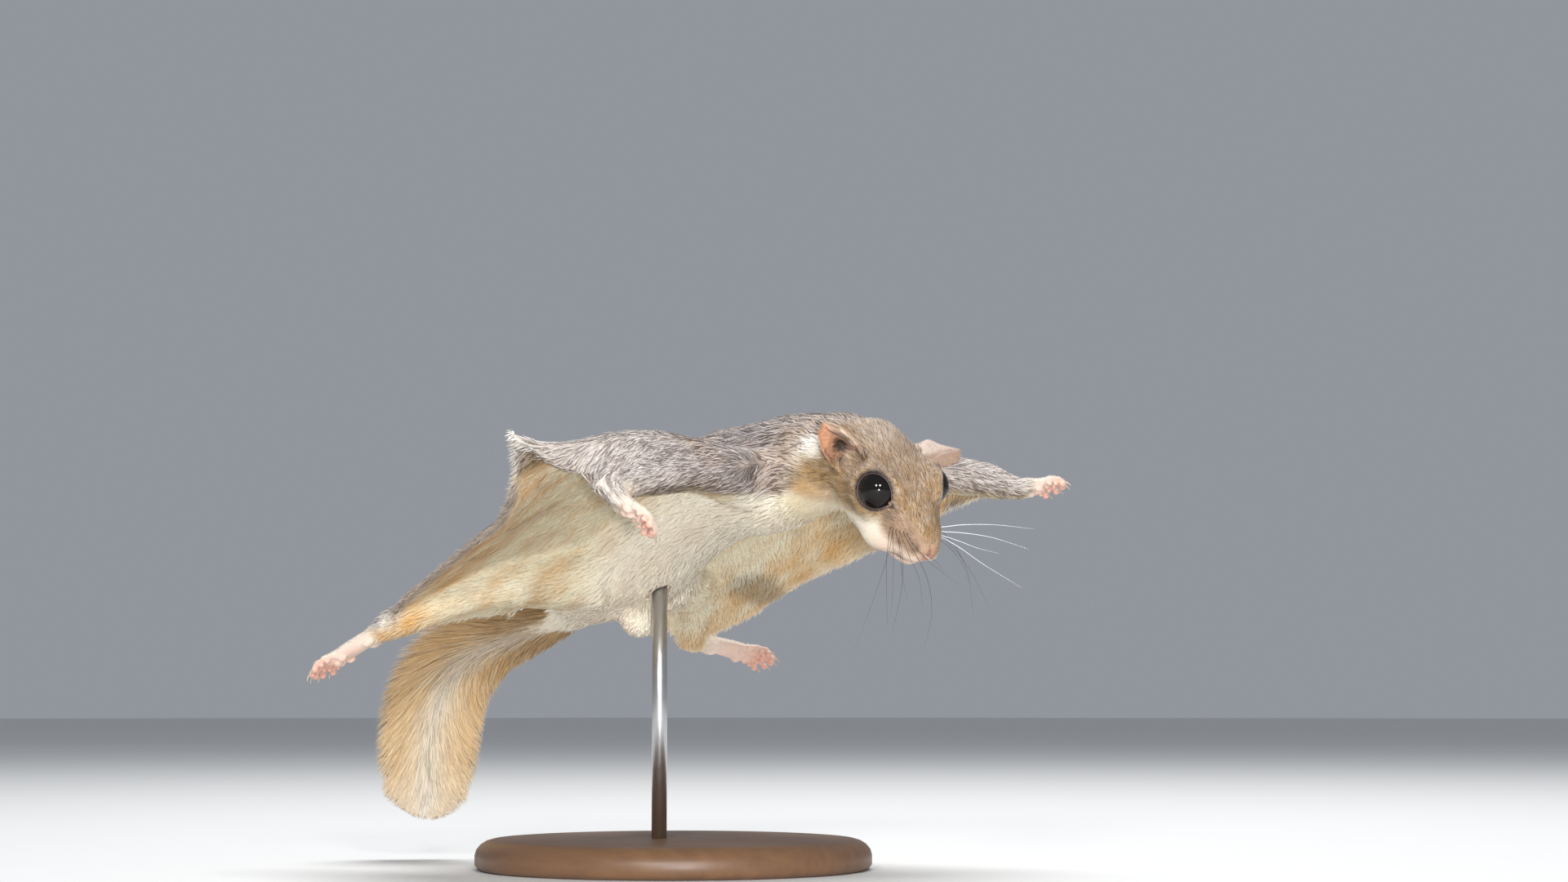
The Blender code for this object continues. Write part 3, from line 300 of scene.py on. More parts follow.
class Lie:
    """The way the coat lies: strokes of a comb, each a place and a way, blended by nearness."""

    REACH = 5.0 * MM
    CHUNK = 20000
    HEAD_STROKES = (
        ((27, 0, 1), (-0.8, 0.0, 0.6)), ((22, 0, 4), (-0.9, 0.0, 0.45)), ((14, 0, 8), (-0.95, 0.0, 0.3)),
        ((4, 0, 9), (-1.0, 0.0, 0.0)), ((-6, 0, 9), (-1.0, 0.0, 0.0)),
        ((24, 5, -3), (-0.9, 0.3, -0.2)), ((18, 7, -4), (-0.9, 0.3, -0.35)),
        ((11, 10, -6), (-0.8, 0.2, -0.55)),
        ((3, 11, -7), (-0.85, 0.1, -0.5)), ((-6, 11, -7), (-1.0, 0.0, -0.2)), ((5, 10, 6), (-1.0, 0.1, 0.1)),
        ((16, 6, 5), (-0.9, 0.25, 0.3)), ((-3, 9, 8), (-1.0, 0.2, 0.0)), ((22, 2, -9), (-1.0, 0.1, -0.2)),
        ((12, 2, -12), (-1.0, 0.0, -0.1)), ((2, 2, -13), (-1.0, 0.0, 0.0)), ((3, 12, 1), (-1.0, 0.1, -0.2)),
    )

    def __init__(self, body: Body) -> None:
        """Draws the strokes along the animal's lines."""
        self.body = body
        self.places: list[Array] = []
        self.ways: list[Array] = []
        turn = body.head_turn
        for (a, b, c), way in self.HEAD_STROKES:
            for hand in (1.0, -1.0):
                place = body.head_point(a, b * hand, c)
                self._stroke(place, turn @ np.array([way[0], way[1] * hand, way[2]]))
        for i in range(4, len(body.spine), 6):
            for aside in ((0, 0, 14), (0, 0, -13), (15, 0, 0), (-15, 0, 0)):
                self._stroke(body.spine[i] + np.array(aside) * MM, body.spine_way[i])
        for side, limb in body.LIMBS.items():
            self._limb_strokes(side, limb)
        self.place_array = np.array(self.places)
        self.way_array = unit(np.array(self.ways))

    def _stroke(self, place: Iterable[float], way: Iterable[float]) -> None:
        """Adds one stroke."""
        self.places.append(np.array(place, dtype=float))
        self.ways.append(unit(np.array(way, dtype=float)))

    def _limb_strokes(self, side: Side, limb: Limb) -> None:
        """Adds the strokes of one side's limbs and membrane."""
        out = np.array([side.value, 0.0, 0.0])
        back = np.array([0.0, 1.0, -0.35])
        chains = (
            ((limb.shoulder, limb.elbow, limb.wrist), 0.35),
            ((limb.wrist, limb.fingers), 0.0),
            ((limb.hip, limb.knee, limb.ankle), 0.1),
            ((limb.ankle, limb.toes), 0.0),
        )
        for joints, backward in chains:
            for start, end in zip(joints, joints[1:]):
                start, end = np.array(start) * MM, np.array(end) * MM
                way = unit(end - start) + back * backward
                for share in (0.15, 0.5, 0.85):
                    self._stroke(between(start, end, share), way)
        for i in range(6, 70, 9):
            edge = self.body.edges[side]["outer"][i]
            inner = np.array([side.value * 16.0 * MM, edge[1] * 0.8, 90.0 * MM])
            for share, outward in ((0.25, 0.45), (0.5, 0.6), (0.75, 0.6), (1.0, 0.35)):
                self._stroke(between(inner, edge, share), out * outward + back * 0.8)
        for i in range(20, 64, 11):
            self._stroke(self.body.edges[side]["trailing"][i], out * 0.5 + back * 1.2)

    def at(self, points: Array, normals: Array) -> Array:
        """Unit ways along the skin at some places.

        Args:
            points: Places on the skin.
            normals: The skin's normals there.

        Returns:
            One way for each place, square to its normal.
        """
        ways = np.zeros_like(points)
        for start in range(0, len(points), self.CHUNK):
            part = slice(start, start + self.CHUNK)
            away = np.linalg.norm(points[part, None, :] - self.place_array[None, :, :], axis=2)
            weight = 1.0 / (away + self.REACH) ** 5
            ways[part] = weight @ self.way_array
        return square_to(ways, normals)


@dataclass
class EarShape:
    """One ear: a thin cup with rolled rims, told by a share s from root to tip and w across it."""

    body: Body
    side: Side
    length: float = 13.0 * MM
    half_width: float = 5.6 * MM
    depth: float = 4.2 * MM
    thick: float = 0.5 * MM
    rows: int = 46
    columns: int = 60
    root: float = -0.12
    voxel: float = 0.2 * MM
    rounds: int = 5

    HOLLOWS = ((0.36, -0.28, 0.17, 0.26), (0.04, -0.82, 0.12, 0.26))
    FORMS = {Side.RIGHT: (1.5, 2.6, 0.0), Side.LEFT: (0.3, 2.3, 1.4 * MM)}

    def __post_init__(self) -> None:
        """Reads the ear's own axes."""
        self.base, self.axis, self.opens, self.across = self.body.ear(self.side)
        self.front = -self.side.value
        self.rolls, self.blunt, self.drop = self.FORMS[self.side]

    def section(self, s: Array) -> tuple[Array, Array]:
        """Half width and depth of the cup at shares of its length."""
        run = np.clip(s, 0.0, 1.0)
        full = self.half_width * (0.88 + 0.30 * run - 0.20 * run * run)
        width = full * np.sqrt(np.clip(1.0 - run**self.blunt, 0.0, 1.0))
        return np.maximum(width, 0.12 * self.half_width), self.depth * (1.0 - 0.75 * run)

    def sheet(self, s: Array, w: Array) -> tuple[Array, Array]:
        """Places across the ear and towards its opening.

        Args:
            s: Shares from root to tip.
            w: Shares across, from -1 to 1.

        Returns:
            The place across and the place towards the opening, in metres.
        """
        width, depth = self.section(s)
        ahead = w * self.front
        roll = ease(np.abs(w), 0.76, 1.0) * ease(s, 0.95, 0.7)
        across = width * w - np.sign(w) * roll * np.where(ahead > 0.0, self.rolls, 0.5) * MM
        toward = (w * w - 0.5) * depth + roll * 0.45 * MM
        ridge = np.exp(-((ahead - self.fold_line(s)) / 0.14) ** 2) * ease(s, 1.0, 0.8) * ease(s, -0.1, 0.1)
        toward += 0.9 * MM * ridge - 1.3 * MM * self.dip(s, ahead, 0) - 0.7 * MM * self.dip(s, ahead, 1)
        toward += 0.8 * MM * np.exp(-((ahead + 0.30) / 0.13) ** 2 - ((s - 0.10) / 0.09) ** 2)
        bend = self.bend(s)
        return across - bend * self.across[2], toward - bend * self.opens[2]

    def bend(self, s: Array) -> Array:
        """How far the ear hangs down towards its tip."""
        return self.drop * ease(s, 0.45, 1.0)

    def fold_line(self, s: Array) -> Array:
        """Where the folded front rim's inner edge lies across the ear."""
        return 0.79 - 0.91 * s

    def dip(self, s: Array, ahead: Array, index: int) -> Array:
        """A share for one of the ear's hollows."""
        at, across, long, wide = self.HOLLOWS[index]
        return np.exp(-(((s - at) / long) ** 2) - ((ahead - across) / wide) ** 2)

    def build(self) -> Item:
        """The ear as a closed thin form."""
        s, w = np.meshgrid(
            np.linspace(self.root, 1.0, self.rows), np.linspace(-1.0, 1.0, self.columns), indexing="ij"
        )
        across, toward = self.sheet(s, w)
        middle = self.base + s[..., None] * self.length * self.axis + across[..., None] * self.across
        half = self.thick / 2.0 * (1.0 + 0.3 * ease(np.abs(w), 0.7, 1.0) + ease(s, 0.3, -0.1))
        layers = [middle + (toward + half * hand)[..., None] * self.opens for hand in (1.0, -1.0)]
        points = np.concatenate([layer.reshape(-1, 3) for layer in layers])
        count, wide = self.rows * self.columns, self.columns
        faces: list[tuple[int, ...]] = []
        for i in range(self.rows - 1):
            for j in range(wide - 1):
                k = i * wide + j
                faces.append((k, k + 1, k + wide + 1, k + wide))
                faces.append((k + count, k + count + wide, k + count + wide + 1, k + count + 1))
        rim = [j for j in range(wide)] + [i * wide + wide - 1 for i in range(1, self.rows)]
        rim += [count - 1 - j for j in range(1, wide)] + [i * wide for i in range(self.rows - 2, 0, -1)]
        for here, after in zip(rim, rim[1:] + rim[:1]):
            faces.append((here, here + count, after + count, after))
        return remeshed(merged("ear_form_" + self.side.label, [(points, faces)]), self.voxel, self.rounds)

    def locate(self, points: Array, normals: Array) -> tuple[Array, Array, Array, Array]:
        """Where places lie on the ear.

        Args:
            points: Places in metres.
            normals: The skin's normals there.

        Returns:
            Whether they are on it, their s, their w and whether they face its opening.
        """
        away = points - self.base
        s = away @ self.axis / self.length
        across = away @ self.across + self.bend(s) * self.across[2]
        w = np.clip(across / self.section(s)[0], -1.0, 1.0)
        _, toward = self.sheet(s, w)
        near = np.abs(away @ self.opens - toward) < 1.2 * MM
        near &= (s > 0.1) & (s < 1.06) & (np.abs(across) < self.section(s)[0] + 0.8 * MM)
        return near, s, w * self.front, normals @ self.opens > 0.0


@dataclass
class Marks:
    """Shares from 0 to 1 that tell the coat's colour, bareness and kind at each place."""

    head: Array
    trunk: Array
    paw: Array
    palm: Array
    ear: Array
    rim: Array
    back: Array
    tan: Array
    warm: Array
    pale: Array
    dark: Array
    bare: Array

    NAMES = ("back", "tan", "warm", "pale", "dark", "bare")

    @staticmethod
    def blank(count: int) -> "Marks":
        """Marks that are all nought."""
        return Marks(*(np.zeros(count) for _ in Marks.__dataclass_fields__))

    def at(self, index: Array) -> "Marks":
        """The same shares at some of the places."""
        return Marks(*(getattr(self, name)[index] for name in self.__dataclass_fields__))

    def lift(self, where: Array, **shares: float | Array) -> None:
        """Raises shares to at least the given values times a share."""
        for name, value in shares.items():
            setattr(self, name, np.maximum(getattr(self, name), value * where))

    def cover(self, where: Array, **shares: float | Array) -> None:
        """Draws shares towards the given values by a share."""
        for name, value in shares.items():
            setattr(self, name, between(getattr(self, name), value, where))


def spot(points: Array, centre: Sequence[float], radius: float) -> Array:
    """A soft round share about a place, where all are in one unit."""
    away = np.linalg.norm(points - np.array(centre), axis=1)
    return ease(away, radius, radius * 0.35)


class Markings:
    """Reads the animal's markings at any place from where the place lies on the body."""

    FACE_LINE = (
        (-12.0, -11.0), (-5.0, -9.5), (2.0, -8.0), (7.0, -6.2), (13.0, -4.6), (17.0, -3.0), (20.0, -2.4),
        (24.0, -2.6), (28.0, -3.4),
    )
    MOUTH = ((15.8, -11.2), (18.5, -10.2), (22.0, -9.4), (25.0, -8.4), (27.4, -7.4))
    SMUDGES = (
        ((17.6, 7.4, -0.2), 2.3, 0.75), ((16.9, 6.6, 4.4), 2.8, 0.22), ((3.2, 8.4, 6.3), 2.4, 0.55),
        ((-5.4, 11.7, -2.4), 2.8, 0.35), ((-2.2, 11.0, -0.9), 2.4, 0.5), ((7.6, 9.5, -4.0), 2.4, 0.2),
    )
    RUSTY = (
        ((19.4, 6.8, -1.6), 4.6), ((22.2, 5.2, -2.2), 4.4), ((24.8, 3.4, -3.0), 4.0),
        ((27.2, 0.8, -4.0), 3.2),
    )
    FAR_DARK_PATCH = (53.8, 24.8, 76.9)
    FAR_PATCH_SQUEEZE = (0.6, 1.0, 1.0)
    GROIN = (-4.1, 13.8, 65.2)
    EYE_RING = 4.95 * MM

    def __init__(self, body: Body) -> None:
        """Keeps the body's lines and ears."""
        self.body = body
        self.ears = [EarShape(body, side) for side in Side]

    def upper(self, points: Array, normals: Array) -> Array:
        """Shares by which places belong to the back's side, from their normals alone."""
        front = np.full(len(points), 1.0)
        for side in Side:
            away, _ = nearest_on_line(points, self.body.edges[side]["leading"])
            front = np.minimum(front, np.where(points[:, 0] * side.value > 8.0 * MM, away, 1.0))
        up = normals[:, 2] + 0.12 * wave_noise(points, 9.0 * MM, 11)
        return ease(up + 0.72 * ease(front, 16.0 * MM, 9.0 * MM), -0.20, 0.22)

    def read(
        self, points: Array, normals: Array, back: Array | None = None, border: Array | float = 0.0
    ) -> Marks:
        """The shares at some places on the skin.

        Args:
            points: Places in metres.
            normals: The skin's normals there.
            back: Shares by which they belong to the back's side, where these are known.
            border: Shares by which they lie where the back's side ends.

        Returns:
            The marks of those places.
        """
        marks = Marks.blank(len(points))
        local = self.body.in_head(points) / MM
        a, b, c = local.T
        wide = np.abs(b)
        marks.head = ease(a, -14.0, -8.0) * ease(wide, 26.0, 20.0)
        off_head = 1.0 - marks.head
        marks.trunk = ease(np.abs(points[:, 0] + 1.5 * MM), 22.0 * MM, 15.0 * MM) * off_head
        drift = wave_noise(points, 9.0 * MM, 11)
        streaks = wave_noise(points * np.array([1.0, 0.3, 1.0]), 3.4 * MM, 23)
        back = self.upper(points, normals) if back is None else back
        nape = ease(c, -1.0, 3.0) * ease(wide, 15.0, 11.0) * ease(a, -34.0, -28.0) * ease(a, -2.0, -6.0)
        marks.back = np.maximum(back, nape) * off_head + marks.head * ease(c, -2.0, 3.0)
        under = (1.0 - marks.back) * off_head
        leading, outer = self._limbs(marks, points, normals)
        warm = 0.12 + 0.55 * outer + 0.18 * drift + 0.20 * streaks * (1.0 - marks.trunk)
        marks.lift(under, warm=np.clip(warm, 0.0, 1.0))
        marks.lift(under * marks.trunk, pale=0.6)
        marks.lift(marks.back * off_head, pale=0.30 * ease(np.abs(points[:, 0]), 30.0 * MM, 60.0 * MM))
        upper = marks.back * off_head
        marks.lift(upper, dark=0.42 * ease(streaks, 0.2, 1.1), tan=0.30 * ease(-drift, 0.0, 1.2))
        marks.lift(under * (1.0 - marks.trunk), dark=0.16 * ease(drift, 0.5, 1.6))
        marks.lift(border * leading * (1.0 - marks.rim), dark=0.55, tan=0.6)
        world = points / MM
        squeeze = np.array(self.FAR_PATCH_SQUEEZE)
        # A darker patch on the far membrane.
        marks.lift(spot(world * squeeze, np.array(self.FAR_DARK_PATCH) * squeeze, 9.0), dark=0.5)
        marks.lift(spot(world, self.GROIN, 4.0), bare=0.25)
        neck = ease(a, -30.0, -12.0) * ease(wide, 24.0, 15.0) * off_head * marks.back
        marks.lift(neck, tan=0.5)
        marks.cover(marks.paw, pale=0.85, warm=0.0, dark=0.0, tan=0.0, back=0.0)
        self._face(marks, local, drift, points)
        self._ears(marks, points, normals)
        for name in Marks.NAMES:
            setattr(marks, name, np.clip(getattr(marks, name), 0.0, 1.0))
        return marks

    def _limbs(self, marks: Marks, points: Array, normals: Array) -> tuple[Array, Array]:
        """Marks the paws and the membrane's rims.

        Args:
            marks: What is marked.
            points: Places in metres.
            normals: The skin's normals there.

        Returns:
            Shares of nearness to the membrane's leading edge and to its outer edge.
        """
        leading, outer = np.zeros(len(points)), np.zeros(len(points))
        for side, limb in self.body.LIMBS.items():
            on_side = points[:, 0] * side.value > 12.0 * MM
            for start, end, faces in (
                (limb.wrist, limb.fingers, limb.palm_faces), (limb.ankle, limb.toes, limb.sole_faces),
            ):
                start, end = np.array(start) * MM, np.array(end) * MM
                reach = np.linalg.norm(end - start)
                way = (end - start) / reach
                ahead = (points - start) @ way
                away = np.linalg.norm(points - start - np.maximum(ahead, 0.0)[:, None] * way, axis=1)
                here = ease(ahead, 0.0, 4.5 * MM) * ease(away, 6.6 * MM, 5.6 * MM)
                facing = ease(normals @ unit(np.array(faces)), -0.3, 0.25)
                palm = here * facing * ease(ahead / reach, 0.05, 0.45)
                toes = here * ease(ahead / reach, 0.5, 0.85)
                marks.lift(here, paw=1.0)
                marks.lift(palm, palm=1.0)
                marks.bare = np.maximum(marks.bare, 0.12 * here + 0.34 * toes + 0.36 * palm)
            edge, index = nearest_on_line(points, self.body.edges[side]["outer"])
            run = index / len(self.body.edges[side]["outer"])
            front, index = nearest_on_line(points, self.body.edges[side]["leading"])
            spur = ease(index / len(self.body.edges[side]["leading"]), 0.62, 0.76)
            hind, _ = nearest_on_line(points, self.body.edges[side]["trailing"])
            rim = ease(edge, 3.2 * MM, 1.2 * MM) * on_side
            marks.lift(rim, rim=1.0)
            marks.lift(on_side * ease(hind, 2.6 * MM, 1.0 * MM), rim=0.6, pale=0.5)
            ends = np.maximum(ease(run, 0.20, 0.06), ease(run, 0.90, 0.97))
            if side is Side.RIGHT:
                band = ease(edge, 4.4 * MM, 2.4 * MM) * on_side * (1.0 - ends)
                marks.cover(band, back=0.75)
                marks.lift(band, tan=0.3)
                at_spur = spur * ease(front, 3.6 * MM, 1.8 * MM) * on_side
                marks.lift(np.maximum(ends * rim, at_spur), pale=0.95)
            else:
                marks.lift(rim, pale=0.5, warm=0.3)
            leading = np.maximum(leading, ease(front, 13.0 * MM, 6.0 * MM) * on_side)
            outer = np.maximum(outer, ease(edge, 22.0 * MM, 5.0 * MM) * on_side)
        return leading, outer

    def _face(self, marks: Marks, local: Array, drift: Array, points: Array) -> None:
        """Marks the head.

        Args:
            marks: What is marked.
            local: Places in the head's axes in millimetres.
            drift: Slow noise at the places.
            points: Places in metres.
        """
        a, b, c = local.T
        head = marks.head
        mirrored = np.stack([a, np.abs(b), c], axis=1)
        line = np.interp(a, *np.array(self.FACE_LINE).T)
        above = ease(c - line + 0.8 * drift, -2.6, 2.6)
        stretched = points * np.array([1.0, 0.6, 0.6])
        fine = ease(wave_noise(stretched, 0.8 * MM, 31), 0.1, 1.2)
        finer = ease(wave_noise(stretched, 0.65 * MM, 37), 0.2, 1.3)
        marks.lift(head * above, tan=1.0, dark=0.06 + 0.34 * fine, pale=0.30 * finer)
        marks.lift(head * (1.0 - above), warm=0.12, pale=0.75 * ease(a, -10.0, 2.0))
        # Painted highlight: the top of the crown is made paler, as light from above and behind would make it.
        marks.lift(head * ease(c, 6.0, 9.5) * ease(a, 8.0, -4.0), pale=0.30)
        cheek = ease(a, 13.0, 2.0) * ease(np.abs(c - line), 5.0, 1.0) * head
        marks.lift(cheek, warm=0.85, tan=0.35)
        for side, strength in ((Side.RIGHT, 1.0), (Side.LEFT, 0.7)):
            tuft = strength * spot(local, (-10.6, 12.2 * side.value, -0.4), 4.2)
            marks.cover(tuft, pale=1.0, tan=0.0, dark=0.0)
        for place, radius, strength in self.SMUDGES:
            marks.lift(spot(mirrored, place, radius), dark=strength)
        rusty = np.zeros(len(a))
        for place, radius in self.RUSTY:
            rusty = np.maximum(rusty, spot(mirrored, place, radius))
        mouth = np.interp(a, *np.array(self.MOUTH).T)
        lips = ease(np.abs(c - mouth), 2.2, 0.5) * ease(a, 14.5, 18.0) * head
        marks.lift(ease(a, 14.0, 19.0) * (1.0 - above) * head, bare=0.30)
        rusty *= ease(c, -8.5, -5.5) * head
        marks.cover(0.95 * rusty, tan=0.6, warm=0.2, pale=0.0, bare=0.36, dark=0.40 + 0.30 * fine)
        marks.lift(lips, bare=0.45, dark=0.12)
        marks.lift(ease(a, 26.4, 27.6) * head, bare=0.6, dark=0.28)
        # Painted shade: a dark line in the crease of the mouth.
        marks.lift(ease(np.abs(c - mouth), 0.55, 0.15) * ease(a, 15.5, 17.5) * head, dark=0.7)
        for side in Side:
            ring, high = self.body.round_eye(side, points)
            marks.lift(ease(ring, self.EYE_RING + 0.5 * MM, self.EYE_RING) * (high > 0.0), dark=0.95)

    def _ears(self, marks: Marks, points: Array, normals: Array) -> None:
        """Marks the ears."""
        fine = wave_noise(points, 0.7 * MM, 43)
        for ear in self.ears:
            on, s, w, inner = ear.locate(points, normals)
            inside, outside = (on & inner) * 1.0, (on & ~inner) * 1.0
            marks.lift(on * 1.0, ear=1.0)
            marks.cover(on * 1.0, back=0.0, tan=0.0, warm=0.0, pale=0.0, dark=0.0, bare=0.0)
            hollow = np.maximum(ear.dip(s, w, 0), ear.dip(s, w, 1))
            if ear.side is Side.RIGHT:
                fold = ease(np.abs(w - ear.fold_line(s) + 0.06), 0.34, 0.10) * ease(s, 0.95, 0.7)
                beyond = ease(w - ear.fold_line(s), 0.20, 0.36)
                # Painted shade: the inside of the near ear grows darker towards its root and in its hollows,
                # with a faint grain over it.
                shade = 0.10 + 0.42 * ease(s, 0.75, 0.25) + 0.85 * hollow + 0.12 * fine
                shade = np.clip(shade, 0.0, 1.0)
                marks.cover(inside, warm=ease(w, 0.2, -0.5), tan=0.25, bare=0.6, dark=shade)
                marks.cover(inside * beyond, warm=0.35, tan=0.3, bare=0.2, pale=0.35, dark=0.22 + 0.2 * fine)
                # Painted shade along the crease inside the folded front rim.
                marks.lift(inside * fold, dark=0.78)
                marks.cover(outside, tan=0.55, bare=0.3, pale=0.12, dark=0.22)
            else:
                # The far ear's inside: its own colour, with painted shade deeper in its hollows.
                marks.cover(inside, warm=0.6, bare=0.6, dark=0.40 + 0.2 * hollow, tan=0.3)
                marks.cover(outside, back=0.72, pale=0.34, bare=0.18, dark=0.06 + 0.16 * ease(fine, 0.0, 1.2))
                low = ease(points[:, 2] - ear.base[2] - s * ear.length * ear.axis[2], 0.3 * MM, -1.4 * MM)
                marks.cover(outside * low, back=0.3, tan=0.35, pale=0.05, bare=0.38, dark=0.42)


@dataclass
class Paw:
    """A hand or foot: palm, pads, jointed digits and, as a piece of its own, its claws."""

    body: Body
    side: Side
    hind: bool
    voxel: float = 0.24 * MM
    rounds: int = 4
    width: float = 7.8

    DIGIT = ((0.0, 0.0, 1.0), (0.3, 0.3, 0.82), (0.45, 0.38, 0.95), (0.62, 0.25, 0.76), (0.8, 0.1, 0.82))
    CLAW = (
        (-0.7, 0.15, 0.40), (0.1, 0.2, 0.38), (0.7, 0.1, 0.33), (1.2, -0.15, 0.27), (1.6, -0.5, 0.19),
        (1.9, -0.9, 0.12), (2.05, -1.25, 0.05),
    )

    def __post_init__(self) -> None:
        """Sets the paw's frame: x to the toes, z out of its back."""
        limb = self.body.LIMBS[self.side]
        start, end, faces = (
            (limb.ankle, limb.toes, limb.sole_faces) if self.hind
            else (limb.wrist, limb.fingers, limb.palm_faces)
        )
        start, end = Vector(start) * MM, Vector(end) * MM
        forward = (end - start).normalized()
        back = -Vector(faces)
        back = (back - forward * back.dot(forward)).normalized()
        turn = Matrix((forward, back.cross(forward), back)).transposed()
        self.turn = np.array(turn)
        self.at = np.array(start)
        self.reach = (end - start).length / MM
        self.digits = 5 if self.hind else 4
        self.thick = 2.2 if self.hind else 1.9
        self.palm = (0.66 if self.hind else 0.50) * self.reach
        self.fan = 0.22 if self.hind else 0.20
        self.outer_short = 0.30 if self.hind else 0.22
        self.curl = 0.8 if self.hind else 1.0

    @property
    def node(self) -> str:
        """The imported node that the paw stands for."""
        return ("foot_" if self.hind else "hand_") + self.side.label

    def place(self, points: Iterable[Iterable[float]]) -> Array:
        """Places in the paw's frame in millimetres, turned into the world."""
        return self.at + np.array(points, dtype=float) * MM @ self.turn.T

    def rows(self, rows: Iterable[Sequence[float]]) -> Array:
        """Rows of place, half width and half thickness, turned into the world."""
        rows = np.array(rows, dtype=float)
        return np.concatenate([self.place(rows[:, :3]), rows[:, 3:5] * MM], axis=1)

    def pad(self, place: Sequence[float], *radii: float) -> Form:
        """A round swelling at a place in the paw's frame, in millimetres."""
        return round_arrays(self.place([place])[0], [radius * MM for radius in radii], self.turn)

    def joints(self, index: int) -> tuple[Array, Array, float]:
        """One digit's rows with the way it points.

        Args:
            index: Which digit, from the inner one.

        Returns:
            Rows of place and radius, the tip and the digit's angle.
        """
        spread_out = 2.0 * index / (self.digits - 1) - 1.0
        length = (self.reach - self.palm) * (1.0 - self.outer_short * spread_out**2)
        start = np.array([self.palm * 0.86, spread_out * self.width * 0.38, 0.0])
        angle = spread_out * self.fan
        way = np.array([math.cos(angle), math.sin(angle), 0.0])
        rows = []
        for step, drop, size in (*self.DIGIT, (1.0, -self.curl, 0.72)):
            rows.append([*(start + way * length * step + [0.0, 0.0, drop]), size * 0.98, size * 0.98])
        return np.array(rows), np.array(rows[-1][:3]), angle

    def build(self) -> Item:
        """The flesh of the paw as one even form."""
        side = self.turn[:, 1]
        palm, wide, thick = self.palm, self.width, self.thick
        sole = self.rows([
            (-3.2, 0, 0, 2.5, 2.4), (palm * 0.3, 0, 0, wide * 0.35, thick * 0.92),
            (palm * 0.75, 0, 0, wide * 0.45, thick * 0.82), (palm * 1.02, 0, 0, wide * 0.41, thick * 0.6),
        ])
        parts = [tube_arrays(smooth_rows(sole, 16), np.tile(side, (16, 1)), 24)]
        for index in range(self.digits):
            rows, tip, _ = self.joints(index)
            parts.append(tube_arrays(smooth_rows(self.rows(rows), 18), np.tile(side, (18, 1)), 14))
            parts.append(self.pad(tip + [-0.2, 0.0, -0.32], 0.95, 0.88, 0.8))
            for step in (0.38, 0.66):
                parts.append(self.pad(between(rows[0][:3], tip, step) + [0.0, 0.0, -0.42], 0.62, 0.66, 0.45))
        for share in np.linspace(-1.0, 1.0, self.digits - 1):
            place = [palm * (0.93 - 0.14 * share**2), share * wide * 0.27, -thick * 0.58]
            parts.append(self.pad(place, 1.45, 1.05, 1.15))
        for hand in (-1.0, 1.0):
            parts.append(self.pad([palm * 0.32, hand * wide * 0.2, -thick * 0.6], 2.1, 1.25, 1.15))
        return remeshed(merged(self.node + "_form", parts), self.voxel, self.rounds)

    def claws(self) -> Item:
        """The hooked claws."""
        parts = []
        for index in range(self.digits):
            _, tip, angle = self.joints(index)
            way = np.array([math.cos(angle), math.sin(angle), 0.0])
            rows = self.rows(
                [[*(tip + way * run + [0.0, 0.0, drop]), size * 0.8, size] for run, drop, size in self.CLAW]
            )
            parts.append(tube_arrays(smooth_rows(rows, 14), np.tile(self.turn[:, 1], (14, 1)), 10))
        return merged("claws_" + self.node, parts)


def linked(name: str, data: bpy.types.ID) -> Item:
    """A new object in the scene."""
    item = bpy.data.objects.new(name, data)
    bpy.context.scene.collection.objects.link(item)
    return item


def finished(item: Item, material: bpy.types.Material) -> Item:
    """Gives a piece its material."""
    item.data.materials.append(material)
    return item


def triangle_object(name: str, points: Array, faces: Array) -> Item:
    """A flat-shaded object from arrays of points and triangles.

    Args:
        name: The piece's name.
        points: Places, one row each.
        faces: Indices, one row for each face.

    Returns:
        The object, in the scene.
    """
    mesh = bpy.data.meshes.new(name)
    faces = np.asarray(faces, dtype=np.int32)
    mesh.vertices.add(len(points))
    mesh.vertices.foreach_set("co", np.asarray(points, dtype=np.float32).ravel())
    mesh.loops.add(faces.size)
    mesh.loops.foreach_set("vertex_index", faces.ravel())
    mesh.polygons.add(len(faces))
    mesh.polygons.foreach_set("loop_start", np.arange(0, faces.size, 3, dtype=np.int32))
    mesh.polygons.foreach_set("use_smooth", np.full(len(faces), False))
    mesh.update(calc_edges=True)
    return linked(name, mesh)


def pull(things: bpy.types.bpy_prop_collection, field: str, wide: int, kind: type) -> Array:
    """One row of numbers for each thing in a mesh's list."""
    values = np.zeros(len(things) * wide, dtype=kind)
    things.foreach_get(field, values)
    return values.reshape(-1, wide)


def read_points(mesh: bpy.types.Mesh) -> Array:
    """The places of a mesh's vertices."""
    return pull(mesh.vertices, "co", 3, np.float32).astype(float)


def read_normals(mesh: bpy.types.Mesh) -> Array:
    """The normals of a mesh's vertices."""
    return pull(mesh.vertex_normals, "vector", 3, np.float32).astype(float)


def read_edges(mesh: bpy.types.Mesh) -> Array:
    """Pairs of vertices that a mesh's edges join."""
    return pull(mesh.edges, "vertices", 2, np.int32)


def read_triangles(mesh: bpy.types.Mesh) -> Array:
    """Corners of a mesh's triangles."""
    mesh.calc_loop_triangles()
    return pull(mesh.loop_triangles, "vertices", 3, np.int32)


def write_points(mesh: bpy.types.Mesh, points: Array) -> None:
    """Moves a mesh's vertices."""
    mesh.vertices.foreach_set("co", np.asarray(points, dtype=np.float32).ravel())
    mesh.update()


def write_shares(mesh: bpy.types.Mesh, name: str, values: Array) -> None:
    """Stores one number for each vertex under a name that the materials read."""
    layer = mesh.attributes.new(name, "FLOAT", "POINT")
    layer.data.foreach_set("value", np.asarray(values, dtype=np.float32))


